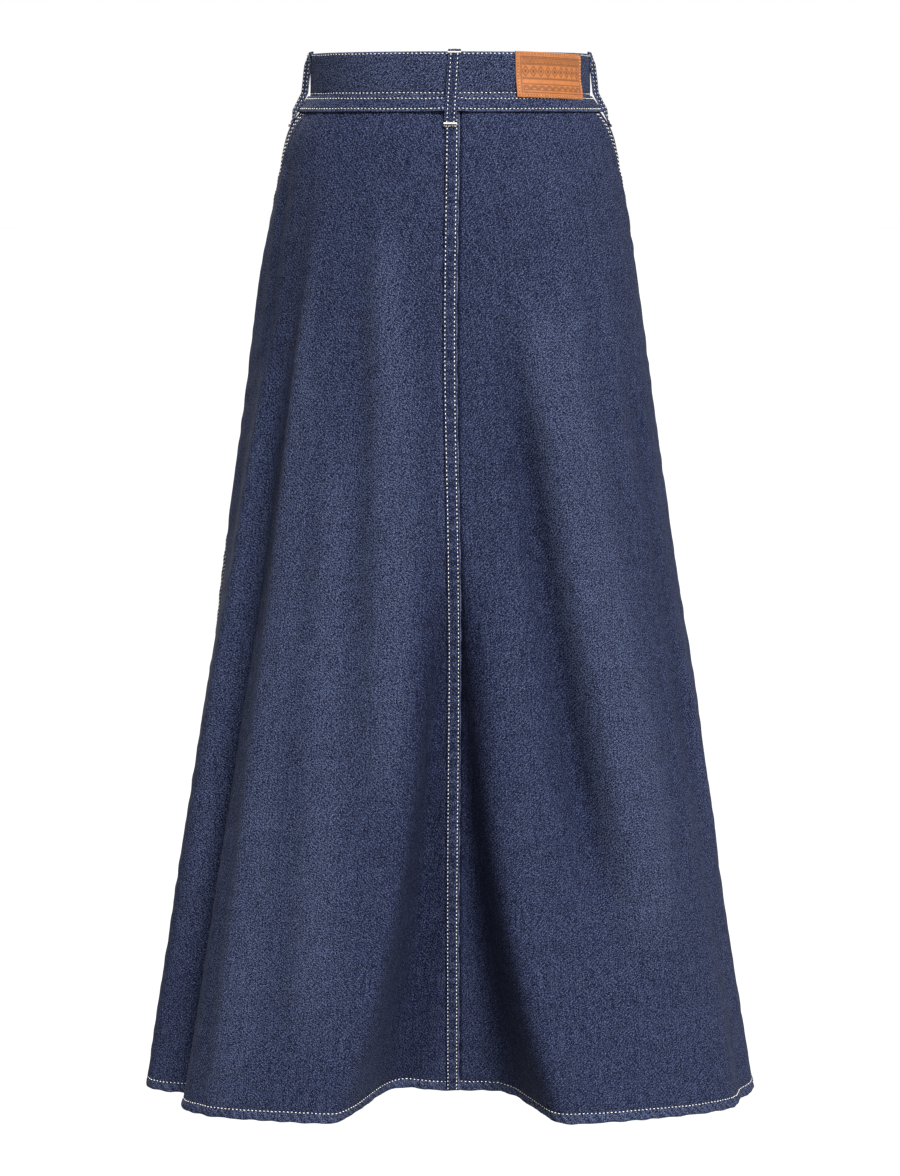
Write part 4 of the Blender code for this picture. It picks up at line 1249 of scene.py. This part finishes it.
# Stamped brass, chemically darkened and buffed: bright on its raised parts, brown in its hollows
brass, tree = new_material("antique_brass")
place = add_node(tree, "ShaderNodeTexCoord")
tarnish = speckle(tree, place.outputs["Object"], 420.0, 3.0)
darkness = weighted_sum(tree, [(tarnish, 0.9), (worn_value(tree), 0.7)], -0.25)
metal_colour = mixed(tree, darkness, linear("b89a66"), linear("4b3c26"))
shine = weighted_sum(tree, [(tarnish, 0.35)], 0.16)
finish_material(tree, {
    "Base Color": metal_colour, "Metallic": 1.0, "Roughness": shine}, tarnish, 0.03 * MM)

radius, height = BUTTON_PROFILE[:, 0][:, None], BUTTON_PROFILE[:, 1][:, None]
turn = np.radians(np.arange(BUTTON_STEPS) * 360 / BUTTON_STEPS)
beads = BEAD_HEIGHT * np.clip(np.cos(BEADS * turn), 0, 1) * bell(radius - BEAD_RING, 0.4 * MM)
height = height + beads * (height > 3 * MM)
forward = np.array([0, -1, 0])
rings = (band_point(CENTRE_FRONT, 0, 0) + radius[..., None] * (
    np.cos(turn)[:, None] * (1, 0, 0) + np.sin(turn)[:, None] * (0, 0, 1)) + height[..., None] * forward)
worn = sum(bell(radius - groove, 0.4 * MM) for groove in BUTTON_GROOVES) - beads / BEAD_HEIGHT
add_piece("tack_button", [strip(rings, (0, 0), worn)], [brass], ["button"])

# --- Buckle -------------------------------------------------------------------------------------
# A plain oblong buckle of brass wire at the centre front, with a middle bar: the belt's first end
# lies behind the bar, and its tail comes in over it.
BUCKLE_HALF_WIDTH = 10 * MM
BUCKLE_HALF_HEIGHT = 9 * MM
BUCKLE_WIRE = 1.1 * MM        # radius
BUCKLE_SQUARENESS = 5         # power of the frame's outline: 2 is an ellipse, more is squarer
BUCKLE_RIM_OUT = 9.2 * MM     # middle of the side bars' wire, from the skirt's face
BUCKLE_BAR_OUT = 5.5 * MM     # middle of the middle bar's wire, from the skirt's face
BUCKLE_STEPS, WIRE_SIDES = 160, 16


def at_buckle(across, up, distance):
    """A point beside the buckle's middle: across the front, up the skirt's face and out from it."""
    share = share_at(CENTRE_FRONT, (BELT_TOP + BELT_BOTTOM) / 2 + up)
    angle = CENTRE_FRONT + degrees_for(across, CENTRE_FRONT, share)
    return moved_out(angle, share, distance)


def wire(path):
    """A round wire along a path: rings square to it, from the cross products of its direction."""
    along = unit(np.gradient(path, axis=0))
    side = unit(np.cross(along, forward))
    return round_rings(path, side, np.cross(side, along), BUCKLE_WIRE, WIRE_SIDES)


turn = np.linspace(np.pi / 2, 5 * np.pi / 2, BUCKLE_STEPS)
corner = (np.abs(np.cos(turn)) ** BUCKLE_SQUARENESS + np.abs(np.sin(turn)) ** BUCKLE_SQUARENESS) ** (
    -1 / BUCKLE_SQUARENESS)
frame_across = BUCKLE_HALF_WIDTH * np.cos(turn) * corner
frame_out = BUCKLE_BAR_OUT + (BUCKLE_RIM_OUT - BUCKLE_BAR_OUT) * (frame_across / BUCKLE_HALF_WIDTH) ** 2
frame_path = at_buckle(frame_across, BUCKLE_HALF_HEIGHT * np.sin(turn) * corner, frame_out)
bar_path = at_buckle(0, np.linspace(-1, 1, 24) * BUCKLE_HALF_HEIGHT, BUCKLE_BAR_OUT)
add_piece("wire_buckle", [strip(wire(path), (0, 0)) for path in (frame_path, bar_path)], [brass],
          ["buckle"])

# --- Patch --------------------------------------------------------------------------------------
# A tan leather patch, pressed with zigzags, lozenges and scallops between rules, and sewn to the
# waistband along its border in a thread near its own colour. Its foot lies over the belt's edge.
PATCH_ANGLES = (116.5, 155.2)
PATCH_TOP, PATCH_FOOT = 19.0 * MM, -21.6 * MM
PATCH_LIFT = 2.3 * MM         # of its foot, over the belt
PATCH_LIFT_RUN = 20 * MM      # depth below the waistband's middle over which it lifts
PATCH_WALL = 1.3 * MM
PATCH_ROWS, PATCH_COLUMNS = 72, 120
PATCH_STITCH = 2.0 * MM       # from its edge to its row
PATCH_PITCH = 2.8 * MM
PATCH_TILT = 0.028            # it is sewn on a little askew, by this angle in radians
PRESS = 0.22 * MM             # depth of the pressed lines
LINE_HALF = 0.3 * MM          # half width of a pressed line
FRAME_IN = 4.6 * MM           # from the patch's edge to its frame line
RULES = np.array([13.2, 8.6, 7.6, -4.2, -5.2, -9.6, -14.9]) * MM      # heights
ZIGZAG_PITCH = 3.6 * MM
ZIGZAG_RISE = 0.9             # for each unit across
LOZENGE_PITCH = 7.4 * MM      # the scallops have the same
LOZENGE_HALF_WIDTH, LOZENGE_HALF_HEIGHT = 3.1 * MM, 4.4 * MM
LOZENGE_AT = 1.6 * MM         # height of their middles
SCALLOP_AT = -14.6 * MM       # height of their middles
PATCH_MIDDLE = np.mean(PATCH_ANGLES)
probe = band_point(np.linspace(*PATCH_ANGLES, 50), 0, 0)
PATCH_WIDTH = np.linalg.norm(np.diff(probe, axis=0), axis=1).sum()


def patch_point(across, height, distance):
    """A point of the patch, which is turned a little on the waistband and lifted at its foot."""
    lift = PATCH_LIFT * smooth_step(-height / PATCH_LIFT_RUN)
    turned = across + PATCH_TILT * (PATCH_TOP - height)
    angle = PATCH_MIDDLE + turned / PATCH_WIDTH * (PATCH_ANGLES[1] - PATCH_ANGLES[0])
    return band_point(angle, height - PATCH_TILT * across, distance + lift)


def patch_edge(across, height):
    """Distance in from the nearest edge of the patch."""
    return np.minimum(
        np.minimum(across + PATCH_WIDTH / 2, PATCH_WIDTH / 2 - across),
        np.minimum(PATCH_TOP - height, height - PATCH_FOOT))


def pressed(across, height):
    """Where the leather is pressed in, from 0 to 1: a frame line, and inside it a row of zigzags,
    a row of lozenges with filled hearts and a row of scallops, with rules between them."""
    edge = patch_edge(across, height)
    line = bell(edge - FRAME_IN, LINE_HALF)
    inside = smooth_step((edge - 5.2 * MM) / (0.5 * MM))
    for rule in RULES:
        line = np.maximum(line, bell(height - rule, LINE_HALF) * inside)

    def folded(pitch):
        return np.abs((across + pitch / 2) % pitch - pitch / 2)

    for lift in (-0.7, 1.1):
        zigzag = height - (10.9 + lift) * MM - ZIGZAG_RISE * (folded(ZIGZAG_PITCH) - ZIGZAG_PITCH / 4)
        line = np.maximum(line, 0.9 * bell(zigzag, 0.4 * MM) * inside)
    beside = folded(LOZENGE_PITCH)
    lozenge = beside / LOZENGE_HALF_WIDTH + np.abs(height - LOZENGE_AT) / LOZENGE_HALF_HEIGHT
    ring = np.maximum(bell(lozenge - 1, 0.13), 0.9 * smooth_step((0.5 - lozenge) / 0.12))
    for reach in (2.3, 3.5):
        scallop = np.hypot(beside, height - SCALLOP_AT) - reach * MM
        ring = np.maximum(ring, 0.9 * bell(scallop, 0.4 * MM) * (height > SCALLOP_AT - 0.2 * MM))
    return np.maximum(line, ring * inside)


across = np.linspace(-0.5, 0.5, PATCH_COLUMNS)[None, :] * PATCH_WIDTH
height = np.linspace(PATCH_TOP, PATCH_FOOT, PATCH_ROWS)[:, None]
edge = patch_edge(across, height)
corner = np.clip(1 - edge / (0.5 * MM), 0, 1)
press = pressed(across, height)
waves = 0.10 * MM * uneven_wave(across + 0.4 * height, 19 * MM, 2)
sew = bell(edge - PATCH_STITCH, 0.45 * MM)
face = REST_GAP + PATCH_WALL - 0.45 * MM * corner ** 2 - PRESS * press - 0.18 * MM * sew + waves
outer = patch_point(across, height, face)
inner = patch_point(across, height, np.full(face.shape, REST_GAP))
worn = np.maximum(0.9 * press, np.maximum(0.5 * corner, 0.55 * sew))
# Cowhide, vegetable tanned and pressed with a hot die: warm tan, finely pored, with a soft sheen
# and scorched brown lines
leather, tree = new_material("vegetable_tanned_leather")
cloth_map = add_node(tree, "ShaderNodeUVMap", {"uv_map": "cloth"})
pores = add_node(tree, "ShaderNodeTexVoronoi", None, {"Vector": cloth_map, "Scale": 900.0})
mottle = speckle(tree, cloth_map, 160.0, 4.0, 0.6)
fine = speckle(tree, cloth_map, 900.0, 2.0)
tone = weighted_sum(tree, [(mottle, 0.9), (fine, 0.5)], -0.2)
tan = mixed(tree, tone, linear("723c1a"), linear("9e6231"))
burnt = mixed(tree, worn_value(tree), tan, linear("43210e"))
skin = weighted_sum(tree, [(pores.outputs["Distance"], 0.4), (fine, 0.6)])
finish_material(tree, {
    "Base Color": burnt, "Roughness": 0.6, "Specular IOR Level": 0.35}, skin, 0.08 * MM)
add_piece("patch_cloth", [shell(outer, inner, (across, height), worn)], [leather],
          ["patch"])
tan_thread = thread("tan_polyester_thread", "c9986a", "9c6a40")
half = PATCH_WIDTH / 2 - PATCH_STITCH
top_row, foot_row = PATCH_TOP - PATCH_STITCH, PATCH_FOOT + PATCH_STITCH
patch_rows = []
for seed, (ends, heights) in enumerate([
        ((-half, -half), (foot_row, top_row)), ((-half, half), (top_row, top_row)),
        ((half, half), (top_row, foot_row)), ((half, -half), (foot_row, foot_row))]):
    row_across, row_height = (np.interp(np.linspace(0, 1, 60), [0, 1], side) for side in (ends, heights))
    near, far = (
        patch_point(row_across, row_height, REST_GAP + PATCH_WALL + more) for more in (-0.1 * MM, MM))
    patch_rows.append(stitches(near, unit(far - near), PATCH_PITCH, 90 + seed))
add_piece("patch_stitching", patch_rows, [tan_thread])

# --- Studio -------------------------------------------------------------------------------------
# A pale even floor, a surround that is bright along the horizon so that the floor has no end, dim
# overhead and soft in front, and two wide suns: the key, high behind the skirt, and one in front.
FLOOR_HEIGHT = -2.40          # far enough below the skirt to keep its shadow out of the picture
FLOOR_RADIUS = 60
FLOOR_ALBEDO = 0.285
HORIZON_LIGHT, SKY_LIGHT = 1.0, 0.12
HORIZON_TOP = (0.20, 0.34)    # sine of the elevations between which the horizon's light fades
FRONT_LIGHT = 0.5
FRONT_SIDE = (-0.30, -0.85, 0.42)     # where the front's soft light comes from
FRONT_WIDTH = (0.35, 1.0)     # cosines of the angles off that side over which it rises

floor_turn = np.radians(np.arange(0, 360, 5))
floor_mesh = bpy.data.meshes.new("studio_floor")
floor_mesh.from_pydata(
    [(FLOOR_RADIUS * np.cos(turn), FLOOR_RADIUS * np.sin(turn), FLOOR_HEIGHT) for turn in floor_turn],
    [], [list(range(len(floor_turn)))])
floor = new_object("studio_floor", floor_mesh)
# Seamless background paper, uncoated: dull and even
paper, tree = new_material("matt_white_paper")
finish_material(tree, {
    "Base Color": (FLOOR_ALBEDO, FLOOR_ALBEDO, FLOOR_ALBEDO, 1), "Roughness": 1.0,
    "Specular IOR Level": 0.0})
floor_mesh.materials.append(paper)

world = bpy.data.worlds.new("studio")
world.use_nodes = True
tree = world.node_tree
tree.nodes.clear()
towards = add_node(tree, "ShaderNodeTexCoord")
parts = add_node(tree, "ShaderNodeSeparateXYZ", None, {"Vector": towards.outputs["Generated"]})


def eased(value, value_range, result_range):
    """A smooth step from one result to the other while a value crosses a range, as a node."""
    return add_node(tree, "ShaderNodeMapRange", {"interpolation_type": "SMOOTHSTEP"}, {
        "Value": value, "From Min": value_range[0], "From Max": value_range[1],
        "To Min": result_range[0], "To Max": result_range[1]})


horizon = eased(parts.outputs["Z"], HORIZON_TOP, (HORIZON_LIGHT, SKY_LIGHT))
over = eased(parts.outputs["Z"], HORIZON_TOP, (0.0, 1.0))
facing = add_node(tree, "ShaderNodeVectorMath", {"operation": "DOT_PRODUCT"}, {
    0: towards.outputs["Generated"], 1: FRONT_SIDE})
lobe = eased(facing.outputs["Value"], FRONT_WIDTH, (0.0, FRONT_LIGHT))
strength = weighted_sum(tree, [(lobe, over)], horizon)
light = add_node(tree, "ShaderNodeBackground", None, {"Color": (1, 1, 1, 1), "Strength": strength})
add_node(tree, "ShaderNodeOutputWorld", None, {"Surface": light})
bpy.context.scene.world = world
bpy.context.scene.view_settings.view_transform = "Standard"
bpy.context.scene.view_settings.look = "None"


def sun(name, towards, strength, softness):
    """A wide light that shines from a direction; softness is its width in degrees."""
    lamp = bpy.data.lights.new(name, "SUN")
    lamp.energy = strength
    lamp.angle = np.radians(softness)
    made = new_object(name, lamp)
    x, y, z = unit(np.array(towards))
    made.rotation_euler = (np.arccos(z), 0, np.arctan2(y, x) + np.pi / 2)


sun("key", (-0.30, 0.75, 0.95), 9.8, 20)
sun("front", (0.3, -0.8, 0.8), 5.6, 30)

# Camera: behind the skirt, near the height of its waist, looking a little down
CAMERA_DISTANCE = 2.4
CAMERA_HEIGHT = -0.05
CAMERA_PITCH = 79.8           # degrees; 90 is level
camera_data = bpy.data.cameras.new("camera")
camera_data.sensor_width = 36
camera_data.lens = 77.8
camera = new_object("camera", camera_data)
camera.location = (0, CAMERA_DISTANCE, CAMERA_HEIGHT)
camera.rotation_euler = (np.radians(CAMERA_PITCH), 0, np.radians(180))
bpy.context.scene.camera = camera
